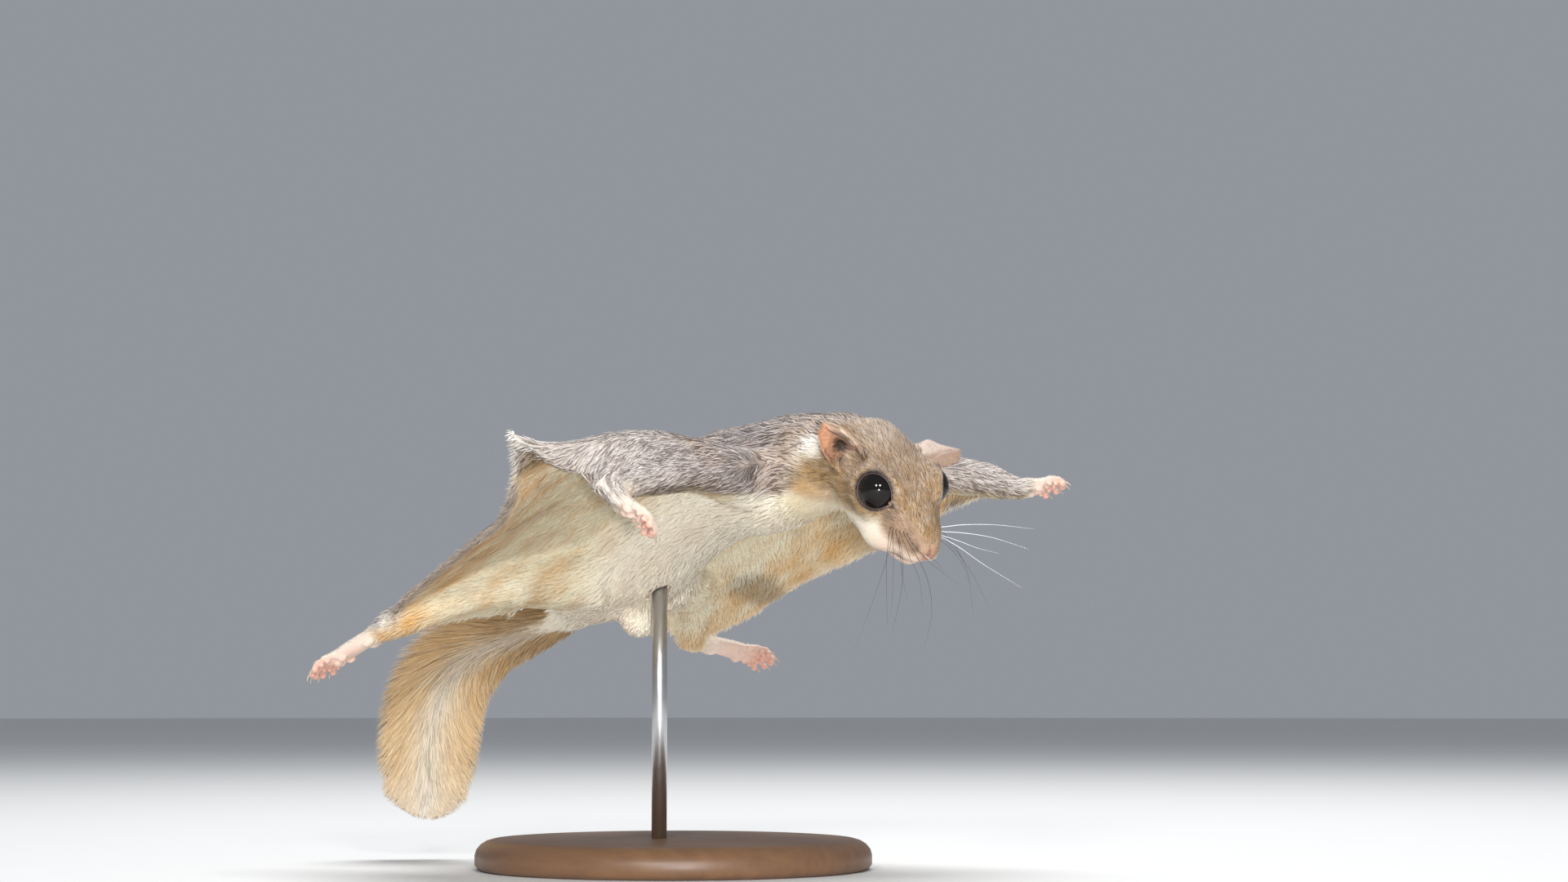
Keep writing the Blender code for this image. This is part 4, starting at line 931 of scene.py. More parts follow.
def applied(item: Item) -> Item:
    """Turns an object's modifiers into its mesh."""
    view = bpy.context.evaluated_depsgraph_get()
    mesh = bpy.data.meshes.new_from_object(item.evaluated_get(view))
    old = item.data
    item.modifiers.clear()
    item.data = mesh
    bpy.data.meshes.remove(old)
    return item


def remeshed(item: Item, voxel: float, rounds: int = 0) -> Item:
    """An object made new in even small faces, with what overlaps fused and then smoothed."""
    step = item.modifiers.new("even", "REMESH")
    step.mode = "VOXEL"
    step.voxel_size = voxel
    step.use_smooth_shade = True
    item = applied(item)
    if rounds > 0:
        write_points(item.data, smoothed(read_points(item.data), read_edges(item.data), rounds))
    return item


def united(item: Item, others: Sequence[Item]) -> Item:
    """An object fused with others, which are removed."""
    for other in others:
        step = item.modifiers.new("join", "BOOLEAN")
        step.operation = "UNION"
        step.solver = "MANIFOLD"
        step.object = other
        item = applied(item)
        bpy.data.objects.remove(other, do_unlink=True)
    return item


def smoothed(points: Array, edges: Array, rounds: int) -> Array:
    """Points eased towards their neighbours and part of the way back, so that nothing shrinks.

    Args:
        points: Places.
        edges: Pairs of neighbours.
        rounds: How often it is done.

    Returns:
        The new places.
    """
    count = np.maximum(np.bincount(edges.ravel(), minlength=len(points)), 1)[:, None]
    first, second = edges[:, 0], edges[:, 1]
    for _ in range(rounds):
        for share in EASE_SHARES:
            total = np.empty_like(points)
            for axis in range(3):
                total[:, axis] = np.bincount(first, points[second, axis], len(points))
                total[:, axis] += np.bincount(second, points[first, axis], len(points))
            points = points + share * (total / count - points)
    return points


def ring_faces(rings: int, sides: int) -> list[tuple[int, ...]]:
    """Faces between rings of points that follow each other."""
    steps = [(i * sides + j, i * sides + (j + 1) % sides) for i in range(rings - 1) for j in range(sides)]
    return [(a, a + sides, b + sides, b) for a, b in steps]


def tube_arrays(rows: Array, across: Array, sides: int) -> Form:
    """Points and faces of a closed tube.

    Args:
        rows: Centre, half width and half thickness of each ring.
        across: The sideways way of each ring.
        sides: Corners of a ring.

    Returns:
        Points and faces, closed by one flat face at each end.
    """
    along = unit(np.gradient(rows[:, :3], axis=0))
    side = square_to(across, along)
    above = np.cross(side, along)
    turn = np.linspace(0.0, 2.0 * math.pi, sides, endpoint=False)
    cos, sin = np.cos(turn), np.sin(turn)
    points = [
        row[:3] + np.outer(cos * row[3], side[i]) + np.outer(sin * row[4], above[i])
        for i, row in enumerate(rows)
    ]
    faces = ring_faces(len(rows), sides)
    faces.append(tuple(range(sides)))
    faces.append(tuple(reversed(range((len(rows) - 1) * sides, len(rows) * sides))))
    return np.concatenate(points), faces


def loose_object(name: str, points: Array, faces: Faces) -> Item:
    """An object from faces of any number of corners."""
    mesh = bpy.data.meshes.new(name)
    mesh.from_pydata([tuple(p) for p in points], [], [tuple(f) for f in faces])
    mesh.update()
    for face in mesh.polygons:
        face.use_smooth = True
    return linked(name, mesh)


def outward(item: Item) -> Item:
    """An object whose faces all look outward."""
    build = bmesh.new()
    build.from_mesh(item.data)
    bmesh.ops.recalc_face_normals(build, faces=build.faces)
    build.to_mesh(item.data)
    build.free()
    return item


def spread(values: Array, edges: Array, rounds: int) -> Array:
    """Numbers on vertices evened out with their neighbours."""
    count = np.maximum(np.bincount(edges.ravel(), minlength=len(values)), 1)
    first, second = edges[:, 0], edges[:, 1]
    for _ in range(rounds):
        total = np.bincount(first, values[second], len(values))
        total += np.bincount(second, values[first], len(values))
        values = 0.5 * values + 0.5 * total / count
    return values


def merged(name: str, parts: Sequence[Form]) -> Item:
    """One object from several sets of points and faces."""
    points, faces, start = [], [], 0
    for places, corners in parts:
        points.append(places)
        faces += [tuple(k + start for k in face) for face in corners]
        start += len(places)
    return outward(loose_object(name, np.concatenate(points), faces))


def round_arrays(centre: Array, radii: Sequence[float], turn: Array, sides: int = 20) -> Form:
    """Points and faces of an ellipsoid whose axes are the columns of turn."""
    rings = sides // 2
    points, faces = [], []
    for i in range(1, rings):
        tilt = math.pi * i / rings
        for j in range(sides):
            swing = 2.0 * math.pi * j / sides
            flat = math.sin(tilt)
            points.append((flat * math.cos(swing), flat * math.sin(swing), math.cos(tilt)))
    points += [(0.0, 0.0, 1.0), (0.0, 0.0, -1.0)]
    top, bottom = len(points) - 2, len(points) - 1
    for j in range(sides):
        k = (j + 1) % sides
        faces += [(top, j, k), (bottom, (rings - 2) * sides + k, (rings - 2) * sides + j)]
        for i in range(rings - 2):
            faces.append((i * sides + j, (i + 1) * sides + j, (i + 1) * sides + k, i * sides + k))
    return np.array(points) * np.array(radii) @ turn.T + centre, faces


@dataclass
class Skin:
    """The one closed skin, which lies under the solids' surface by the coat's depth."""

    body: Body
    markings: Markings
    body_voxel: float = 0.8 * MM
    head_voxel: float = 0.34 * MM
    swell: float = 0.25 * MM
    coat_on_trunk: float = 1.5 * MM
    coat_on_limb: float = 0.75 * MM
    coat_on_crown: float = 0.7 * MM
    coat_on_face: float = 0.3 * MM
    coat_on_paw: float = 0.05 * MM
    tuck: float = 0.7 * MM
    shrink: float = 0.3
    cover: float = 60.0 * MM
    near_cover: float = 3.5 * MM
    melt_depth: float = 1.3 * MM
    even_rounds: int = 45
    form_rounds: int = 12
    lid_rounds: int = 55
    seam_rounds: int = 60
    tail_widths: tuple[float, ...] = (1.0, 0.6, 0.42, 0.36, 0.34, 0.30, 0.22, 0.1, 0.1)
    tail_thicks: tuple[float, ...] = (1.0, 0.85, 0.65, 0.6, 0.6, 0.55, 0.45, 0.3, 0.3)

    BROW_HIGH = 2.45 * MM
    BALL_SPARE = 0.4 * MM
    NECK_END = ((-2.5, -54.0, 103.0), (0.05, -0.99, 0.11))
    BODY_NODES = (
        "neck", "torso", "rump", "arm_right", "arm_left", "wing_right", "wing_left", "leg_right", "leg_left",
    )
    HEAD_NODES = ("head", "neck", "eye_right", "eye_left")
    PAW_NODES = ("hand_right", "hand_left", "foot_right", "foot_left")
    TAIL_NODES = ("tail_upper", "tail_lower")
    EAR_NODES = ("ear_right", "ear_left")
    ROD_PLUG = ((-2.5, 3.0, 74.0, 2.9, 2.9), (-2.5, 3.0, 81.0, 2.9, 2.9), (-2.5, 3.0, 88.0, 2.9, 2.9))
    GROOVES = (
        ((28.3, 1.15, -4.3), 0.62, 0.75), ((27.9, 1.9, -4.7), 0.45, 0.35), ((28.2, 0.0, -5.6), 0.42, 0.32),
        ((27.9, 0.0, -6.4), 0.42, 0.30),
    )

    def build(self, paws: Sequence[Paw]) -> Item:
        """Fuses the flesh and stores its marks.

        Args:
            paws: The hands and feet that it takes in.

        Returns:
            The skin.
        """
        plug = tube_arrays(np.array(self.ROD_PLUG) * MM, np.tile([1.0, 0.0, 0.0], (3, 1)), 20)
        body = self._from_nodes("skin", self.BODY_NODES + ("head",), self.body_voxel, [plug])
        head = self._from_nodes("head_form", self.HEAD_NODES, self.head_voxel)
        self._sculpt(head)
        self._melt(head, body)
        others = [head, self._tail_core(), *(ear.build() for ear in self.markings.ears)]
        others += [paw.build() for paw in paws]
        item = united(body, others)
        self._even_out(item)
        self._dress(item)
        return item

    def _dress(self, item: Item) -> None:
        """Stores the marks on the skin's vertices and keeps them."""
        mesh = item.data
        points, normals = read_points(mesh), read_normals(mesh)
        self.tree = BVHTree.FromObject(item, bpy.context.evaluated_depsgraph_get())
        back = self.markings.upper(points, normals)
        for i in np.flatnonzero(back > 0.02):
            start = Vector(points[i] + normals[i] * 0.4 * MM)
            above = self.tree.ray_cast(start, UP, self.cover)[3]
            if above is not None and above > self.near_cover:
                back[i] = 0.0
        soft = spread(back, read_edges(mesh), self.even_rounds)
        self.marks = self.markings.read(points, normals, ease(soft, 0.38, 0.62), 4.0 * soft * (1.0 - soft))
        for name in Marks.NAMES:
            write_shares(mesh, name, getattr(self.marks, name))

    def depth(self, points: Array, marks: Marks) -> Array:
        """How deep under the solids' surface the skin lies at some places."""
        a = self.body.in_head(points)[:, 0] / MM
        face = ease(a, 2.0, 16.0)
        on_head = between(self.coat_on_crown, self.coat_on_face, face)
        depth = self.coat_on_limb + (self.coat_on_trunk - self.coat_on_limb) * marks.trunk
        return between(between(depth, on_head, marks.head), self.coat_on_paw, marks.paw)

    def _from_nodes(
        self, name: str, nodes: Sequence[str], voxel: float,
        extras: Sequence[Form] = (),
    ) -> Item:
        """Copies some nodes into one even, smooth and sunken form.

        Args:
            name: The form's name.
            nodes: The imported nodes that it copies.
            voxel: Size of its faces.
            extras: Points and faces of other forms that it takes in.

        Returns:
            The form.
        """
        parts = []
        for node in nodes:
            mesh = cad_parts[node].data
            parts.append((read_points(mesh) + read_normals(mesh) * self.swell, read_triangles(mesh).tolist()))
        item = remeshed(merged(name, [*parts, *extras]), voxel, self.form_rounds)
        mesh = item.data
        points, normals = read_points(mesh), read_normals(mesh)
        marks = self.markings.read(points, normals)
        points = points - normals * (self.swell + self.depth(points, marks))[:, None]
        if name == "skin":
            ahead, near = self._past_neck(points)
            points -= normals * (self.tuck * ease(ahead, 8.0, 12.0) * near)[:, None]
            middle = np.array(self.body.head_point(0.0, 0.0, 0.0))
            points += (middle - points) * (self.shrink * ease(ahead, 10.0, 20.0) * near)[:, None]
        write_points(mesh, points)
        return item

    def _past_neck(self, points: Array) -> tuple[Array, Array]:
        """How far places lie ahead of the neck's hind end, in millimetres, and how near the neck."""
        place, way = (np.array(item) for item in self.NECK_END)
        aside = np.abs(self.body.in_head(points)[:, 1]) / MM
        return (points / MM - place) @ unit(way), ease(aside, 19.0, 15.0)

    def _melt(self, item: Item, body: Item) -> None:
        """Lets a form's hind end dip into another form, so that no step shows."""
        tree = BVHTree.FromObject(body, bpy.context.evaluated_depsgraph_get())
        points = read_points(item.data)
        ahead, _ = self._past_neck(points)
        share = ease(ahead, 11.0, 6.5)
        deep = self.melt_depth * ease(ahead, 6.5, 3.0)
        for i in np.flatnonzero(share > 0.0):
            near, up, _, away = tree.find_nearest(Vector(points[i]))
            if away < 5.0 * MM:
                target = np.array(near) - np.array(up) * deep[i]
                points[i] += (target - points[i]) * share[i]
        write_points(item.data, points)

    def _sculpt(self, item: Item) -> None:
        """Opens the lids, and presses nostrils, mouth and folds into the head."""
        mesh = item.data
        points, normals = read_points(mesh), read_normals(mesh)
        local = self.body.in_head(points) / MM
        mirrored = np.stack([local[:, 0], np.abs(local[:, 1]), local[:, 2]], axis=1)
        press = np.zeros(len(points))
        for centre, radius, deep in self.GROOVES:
            press += deep * np.exp(-(np.linalg.norm(mirrored - np.array(centre), axis=1) / radius) ** 2)
        mouth = np.interp(local[:, 0], *np.array(Markings.MOUTH).T)
        line = np.exp(-((local[:, 2] - mouth) / 0.30) ** 2) * ease(local[:, 0], 15.0, 17.0)
        press += 0.5 * line
        press -= 0.22 * np.exp(-((local[:, 2] - mouth + 1.0) / 0.5) ** 2) * ease(local[:, 0], 15.0, 18.0)
        even = smoothed(points, read_edges(mesh), self.lid_rounds)
        points = points - normals * (press * MM)[:, None]
        for side in Side:
            centre, looks = self.body.eye(side)
            ring, high = self.body.round_eye(side, points)
            foot = (ease(ring, 11.0 * MM, 8.5 * MM) * (high > -4.5 * MM))[:, None]
            points = between(points, even, foot)
            high = (points - centre) @ looks
            near = ease(ring, 9.0 * MM, 5.4 * MM) * ease(high, -3.2 * MM, -1.2 * MM)
            points += ((self.BROW_HIGH - high) * near)[:, None] * looks
            high = (points - centre) @ looks
            inside = ease(ring, Lids.OPEN + 0.5 * MM, Lids.OPEN + 0.1 * MM) * (high > 0.0)
            depth = np.maximum((Lids.OPEN + self.BALL_SPARE) ** 2 - ring**2, 0.0)
            under = np.sqrt(depth) - self.BALL_SPARE * 2.0
            points += ((under - high) * inside)[:, None] * looks
        write_points(mesh, points)

    def _tail_core(self) -> Item:
        """The tail under its hair."""
        rows = self.body.tail.copy()
        share = np.linspace(0.0, 1.0, len(self.tail_widths))
        fine = np.linspace(0.0, 1.0, len(rows))
        rows[:, 3] *= np.interp(fine, share, self.tail_widths)
        rows[:, 4] *= np.interp(fine, share, self.tail_thicks)
        rows[:, :3] -= self.body.tail_way * ease(fine, 0.06, 0.0)[:, None] * 4.0 * MM
        points, faces = tube_arrays(rows[::2], self.body.tail_across[::2], 28)
        return remeshed(loose_object("tail_form", points, faces), 0.6 * MM)

    def _even_out(self, item: Item) -> None:
        """Softens the lines at which the forms meet."""
        mesh = item.data
        points = read_points(mesh)
        a, b, _ = (self.body.in_head(points) / MM).T
        ahead, near = self._past_neck(points)
        seam = (ease(ahead, -3.0, 1.0) * ease(ahead, 14.0, 10.0) * near)[:, None]
        edges = read_edges(mesh)
        eased = between(smoothed(points, edges, 2), smoothed(points, edges, self.seam_rounds), seam)
        fine = ease(a, -6.0, -2.0) * ease(np.abs(b), 26.0, 20.0) * (1.0 - seam[:, 0])
        marks = self.markings.read(points, read_normals(mesh))
        keep = np.maximum(np.maximum(fine, marks.paw), marks.ear)[:, None]
        write_points(mesh, between(eased, points, keep))


class Zone(Enum):
    """Stretches of the coat that are pieces of their own."""

    HEAD_RIGHT = "coat_head_right"
    HEAD_LEFT = "coat_head_left"
    BACK_FRONT = "coat_back_front"
    BACK_HIND = "coat_back_hind"
    BELLY_FRONT = "coat_belly_front"
    BELLY_HIND = "coat_belly_hind"
    TOP_RIGHT = "coat_top_right"
    TOP_LEFT = "coat_top_left"
    UNDER_RIGHT = "coat_under_right"
    UNDER_LEFT = "coat_under_left"


@dataclass
class Tufts:
    """Tufts to be grown: one row of each array for each tuft, in metres."""

    root: Array
    normal: Array
    middle: Array
    tip: Array
    width: Array
    sink: Array
    chance: Array

    BELLY = 0.35
    MIDDLE = 0.48

    @staticmethod
    def straight(
        root: Array, normal: Array, way: Array, length: Array, width: Array, lift: Array, chance: Array
    ) -> "Tufts":
        """Tufts that leave along a way and rise by a lift."""
        middle = root + way * (length * Tufts.MIDDLE)[:, None] + normal * (lift * 0.85)[:, None]
        tip = root + way * length[:, None] + normal * lift[:, None]
        return Tufts(root, normal, middle, tip, width, lift * 0.25, chance)

    def hug(self, tree: BVHTree, share: Array, lift: Array) -> None:
        """Draws middles and tips to a set height over the skin.

        Args:
            tree: The skin's faces.
            share: How far each tuft gives in, from 0 to 1.
            lift: The tip's height over the skin.
        """
        for places, rise in ((self.middle, 0.85), (self.tip, 1.0)):
            for i in np.flatnonzero(share > 0.02):
                near, up, _, _ = tree.find_nearest(Vector(places[i]))
                target = np.array(near) + np.array(up) * lift[i] * rise
                places[i] += (target - places[i]) * share[i]

    def arrays(self, bent: bool) -> tuple[Array, Array, Array]:
        """Points, triangles and the place along each tuft.

        Args:
            bent: Whether each tuft has a ring half way, so that it curves over.

        Returns:
            Points, triangles and a share from 0 at the root to 1 at the tip for each point.
        """
        count = len(self.root)
        across = unit(np.cross(self.normal, self.tip - self.root))
        base = self.root - self.normal * self.sink[:, None]
        half = across * (self.width / 2.0)[:, None]
        low = self.normal * (self.width * self.BELLY)[:, None]
        rings = [(base, 1.0)]
        if bent:
            rings.append((self.middle, 0.9))
        columns, along = [], []
        for i, (centre, size) in enumerate(rings):
            columns += [centre - half * size, centre + half * size, centre - low * size]
            along += [i * self.MIDDLE] * 3
        columns.append(self.tip)
        along.append(1.0)
        size = len(columns)
        points = np.stack(columns, axis=1).reshape(-1, 3)
        last = size - 1
        faces = [(0, 2, 1)]
        for ring in range(0, 3 * (len(rings) - 1), 3):
            for j in range(3):
                k = (j + 1) % 3
                faces += [(ring + j, ring + k, ring + 3 + k), (ring + j, ring + 3 + k, ring + 3 + j)]
        top = last - 3
        faces += [(top, top + 1, last), (top + 1, top + 2, last), (top + 2, top, last)]
        step = (np.arange(count) * size)[:, None, None]
        triangles = (np.array(faces)[None, :, :] + step).reshape(-1, 3)
        return points, triangles, np.tile(np.array(along), count)


@dataclass(frozen=True)
class CoatStyle:
    """Length, width and closeness of the tufts in one kind of place, in millimetres."""

    length: float
    width: float
    per_square: float
    lift: float


class Coat:
    """The short coat over the skin."""

    SEED = 41
    PATCH = 0.0015
    TRUNK = CoatStyle(5.6, 0.36, 3.3, 1.1)
    LIMB = CoatStyle(3.8, 0.30, 2.7, 0.62)
    CROWN = CoatStyle(2.8, 0.20, 11.0, 0.55)
    FACE = CoatStyle(1.4, 0.13, 17.0, 0.25)
    PAW = CoatStyle(1.5, 0.14, 6.0, 0.3)
    EAR = CoatStyle(0.8, 0.10, 9.0, 0.16)
    RIM = CoatStyle(2.3, 0.17, 7.0, 0.45)
    SPREAD = 0.22
    MIDLINE = -1.5 * MM
    WAIST = -22.0 * MM
    BY_THE_LIDS = {"length": -0.5, "width": -0.15, "per_square": 0.9, "lift": -0.2}

    def __init__(self, body: Body, markings: Markings, lie: Lie) -> None:
        """Keeps what tells the coat's lie and colour."""
        self.body = body
        self.markings = markings
        self.lie = lie

    def styles(self, points: Array, marks: Marks) -> dict[str, Array]:
        """Each place's own length, width, closeness and lift, in millimetres."""
        a = self.body.in_head(points)[:, 0] / MM
        face = ease(a, 4.0, 20.0)
        result = {}
        for name in self.BY_THE_LIDS:
            value = between(getattr(self.LIMB, name), getattr(self.TRUNK, name), marks.trunk)
            on_head = between(getattr(self.CROWN, name), getattr(self.FACE, name), face)
            value = between(value, on_head, marks.head)
            for kind, share in ((self.RIM, marks.rim), (self.PAW, marks.paw), (self.EAR, marks.ear)):
                value = between(value, getattr(kind, name), share)
            result[name] = value
        for side in Side:
            ring, high = self.body.round_eye(side, points)
            near = ease(ring, 7.6 * MM, 5.4 * MM) * (high > -1.0 * MM)
            for name, share in self.BY_THE_LIDS.items():
                result[name] = result[name] * (1.0 + share * near)
        return result

    def zones(self, points: Array, marks: Marks) -> Array:
        """The zone of each place, as an index into the list of zones."""
        right, hind = points[:, 0] < self.MIDLINE, points[:, 1] > self.WAIST
        upper, trunk = marks.back > 0.5, marks.trunk > 0.5
        head = (marks.head > 0.5) | (marks.ear > 0.5)
        zone = np.zeros(len(points), dtype=int)
        for kind, where in (
            (Zone.UNDER_RIGHT, right), (Zone.UNDER_LEFT, ~right),
            (Zone.TOP_RIGHT, upper & right), (Zone.TOP_LEFT, upper & ~right),
            (Zone.BACK_FRONT, trunk & upper & ~hind), (Zone.BACK_HIND, trunk & upper & hind),
            (Zone.BELLY_FRONT, trunk & ~upper & ~hind), (Zone.BELLY_HIND, trunk & ~upper & hind),
            (Zone.HEAD_RIGHT, head & right), (Zone.HEAD_LEFT, head & ~right),
        ):
            zone[where] = list(Zone).index(kind)
        return zone

    def unwrap(self, zone: Zone, points: Array) -> Array:
        """Places on an unwrap of the skin's own shape, from 0 to 1.

        The head and trunk are unrolled about their own lines, and the flat webs are laid out
        as they lie.
        """
        if zone in (Zone.HEAD_RIGHT, Zone.HEAD_LEFT):
            a, b, c = self.body.in_head(points).T
            flat = np.stack([a, np.arctan2(c, np.abs(b)) * 12.0 * MM], axis=1)
        elif zone.value.startswith(("coat_back", "coat_belly")):
            _, index = nearest_on_line(points, self.body.spine)
            away = points - self.body.spine[index]
            lift = away[:, 2] * (1.0 if zone.value.startswith("coat_back") else -1.0)
            flat = np.stack([np.arctan2(away[:, 0], lift) * 16.0 * MM, points[:, 1]], axis=1)
        else:
            flat = points[:, :2]
        low, high = flat.min(axis=0), flat.max(axis=0)
        return 0.02 + 0.96 * (flat - low) / np.maximum(high - low, 1e-6)

    def grow(self, skin: Item, maker: Skin) -> list[Item]:
        """Grows the coat as one piece for each zone.

        Args:
            skin: The skin to grow on.
            maker: What made the skin and keeps its marks.

        Returns:
            The coat's pieces.
        """
        mesh = skin.data
        points, normals, triangles = read_points(mesh), read_normals(mesh), read_triangles(mesh)
        marks = maker.marks
        style = self.styles(points, marks)
        bare = self.bare_places(points, normals, marks)
        corners = points[triangles]
        square = np.cross(corners[:, 1] - corners[:, 0], corners[:, 2] - corners[:, 0])
        area = np.linalg.norm(square, axis=1) / 2.0
        tail = self.on_tail(corners.mean(axis=1))
        want = area / MM**2 * style["per_square"][triangles].mean(axis=1) * ~tail
        draw = np.random.default_rng(self.SEED)
        total = np.cumsum(want)
        count = int(total[-1])
        picks = np.searchsorted(total, (np.arange(count) + draw.uniform(size=count)) * total[-1] / count)
        picks = np.minimum(picks, len(triangles) - 1)
        share = draw.dirichlet((1.0, 1.0, 1.0), size=count)
        chosen = triangles[picks]

        def blend(values: Array) -> Array:
            """A value of the skin's corners read at each root."""
            picked = values[chosen]
            weight = share if picked.ndim == 2 else share[:, :, None]
            return np.sum(picked * weight, axis=1)

        keep = draw.uniform(size=count) > blend(bare)
        chosen, share = chosen[keep], share[keep]
        here = Marks(*(blend(getattr(marks, name)) for name in Marks.__dataclass_fields__))
        style = {name: blend(values) for name, values in style.items()}
        return self._pieces(blend(points), unit(blend(normals)), here, style, maker.tree, draw)

    def on_tail(self, points: Array) -> Array:
        """Whether places lie on the tail, which has a coat of its own."""
        away, index = nearest_on_line(points, self.body.tail[:, :3])
        return (index > 8) & (away < self.body.tail[index, 3] * 0.75 + 2.0 * MM) & (points[:, 1] > 36.0 * MM)

    def bare_places(self, points: Array, normals: Array, marks: Marks) -> Array:
        """Shares from 0 to 1 by which the coat thins out: palms, ears, nose and eyes."""
        bare = np.where(marks.paw > 0.0, ease(marks.palm, 0.1, 0.45) * marks.paw, 0.0)
        for side, limb in self.body.LIMBS.items():
            for start, end in ((limb.wrist, limb.fingers), (limb.ankle, limb.toes)):
                start, end = np.array(start) * MM, np.array(end) * MM
                away = np.linalg.norm(points - end, axis=1) / np.linalg.norm(end - start)
                bare = np.maximum(bare, marks.paw * ease(away, 0.62, 0.3) * 0.85)
            ring, high = self.body.round_eye(side, points - self.body.head_turn[:, 0] * 0.2 * MM)
            bare = np.maximum(bare, (ring < 4.85 * MM) * (high > 0.0))
        for ear in self.markings.ears:
            on, s, w, inner = ear.locate(points, normals)
            bare = np.where(on & inner, 0.8 * ease(w - ear.fold_line(s), 0.4, 0.2), bare)
        a, _, _ = (self.body.in_head(points) / MM).T
        return np.maximum(bare, ease(a, 26.8, 27.6) * marks.head)

    def _pieces(
        self, roots: Array, ups: Array, marks: Marks, style: dict[str, Array], tree: BVHTree,
        draw: np.random.Generator,
    ) -> list[Item]:
        """Makes the tufts at the roots and sorts them into pieces."""
        count = len(roots)
        ways = self.lie.at(roots, ups)
        for ear in self.markings.ears:
            on, _, _, _ = ear.locate(roots, ups)
            ways = square_to(np.where(on[:, None], ear.axis, ways), ups)
        swirl = self.SPREAD * (wave_noise(roots, 5.0 * MM, 7) * 0.5 + draw.normal(size=count) * 0.8)
        across = np.cross(ups, ways)
        ways = unit(ways * np.cos(swirl)[:, None] + across * np.sin(swirl)[:, None])
        vary = draw.uniform(0.75, 1.25, size=count)
        length = style["length"] * vary
        lift = style["lift"] * draw.uniform(0.45, 1.25, size=count)
        width = style["width"] * draw.uniform(0.8, 1.25, size=count)
        chance = draw.uniform(size=count)
        zones = self.zones(roots, marks)
        tufts = Tufts.straight(roots, ups, ways, length * MM, width * MM, lift * MM, chance)
        tufts.hug(tree, ease(marks.rim, 0.5, 0.1) * (1.0 - marks.ear), lift * MM)
        pieces = []
        for index, zone in enumerate(Zone):
            inside = zones == index
            if not inside.any():
                continue
            part = Tufts(*(getattr(tufts, name)[inside] for name in Tufts.__dataclass_fields__))
            bent = zone not in (Zone.HEAD_RIGHT, Zone.HEAD_LEFT)
            pieces.append(coat_piece(zone.value, part, marks.at(inside), bent, self.unwrap(zone, part.root)))
        return pieces


def coat_piece(name: str, tufts: Tufts, marks: Marks, bent: bool, spots: Array) -> Item:
    """One piece of coat with its marks and its OFBake map.

    Args:
        name: The piece's name.
        tufts: The tufts.
        marks: Marks of the tufts' roots.
        bent: Whether the tufts curve over.
        spots: Each root's place on the unwrapped skin.

    Returns:
        The piece.
    """
    points, triangles, along = tufts.arrays(bent)
    item = triangle_object(name, points, triangles)
    mesh = item.data
    each = len(points) // len(tufts.root)
    for share in Marks.NAMES:
        write_shares(mesh, share, np.repeat(getattr(marks, share), each))
    write_shares(mesh, "chance", np.repeat(tufts.chance, each))
    write_shares(mesh, "along", along)
    layer = mesh.uv_layers.new(name="OFBake")
    aside = np.where(np.arange(len(points)) % each == each - 1, 0.0, np.arange(len(points)) % each % 3 - 1.0)
    patch = np.stack([aside, along * 2.0 - 1.0], axis=1) * Coat.PATCH
    map_points = np.repeat(spots, each, axis=0) + patch
    layer.data.foreach_set("uv", map_points[triangles.ravel()].astype(np.float32).ravel())
    return item


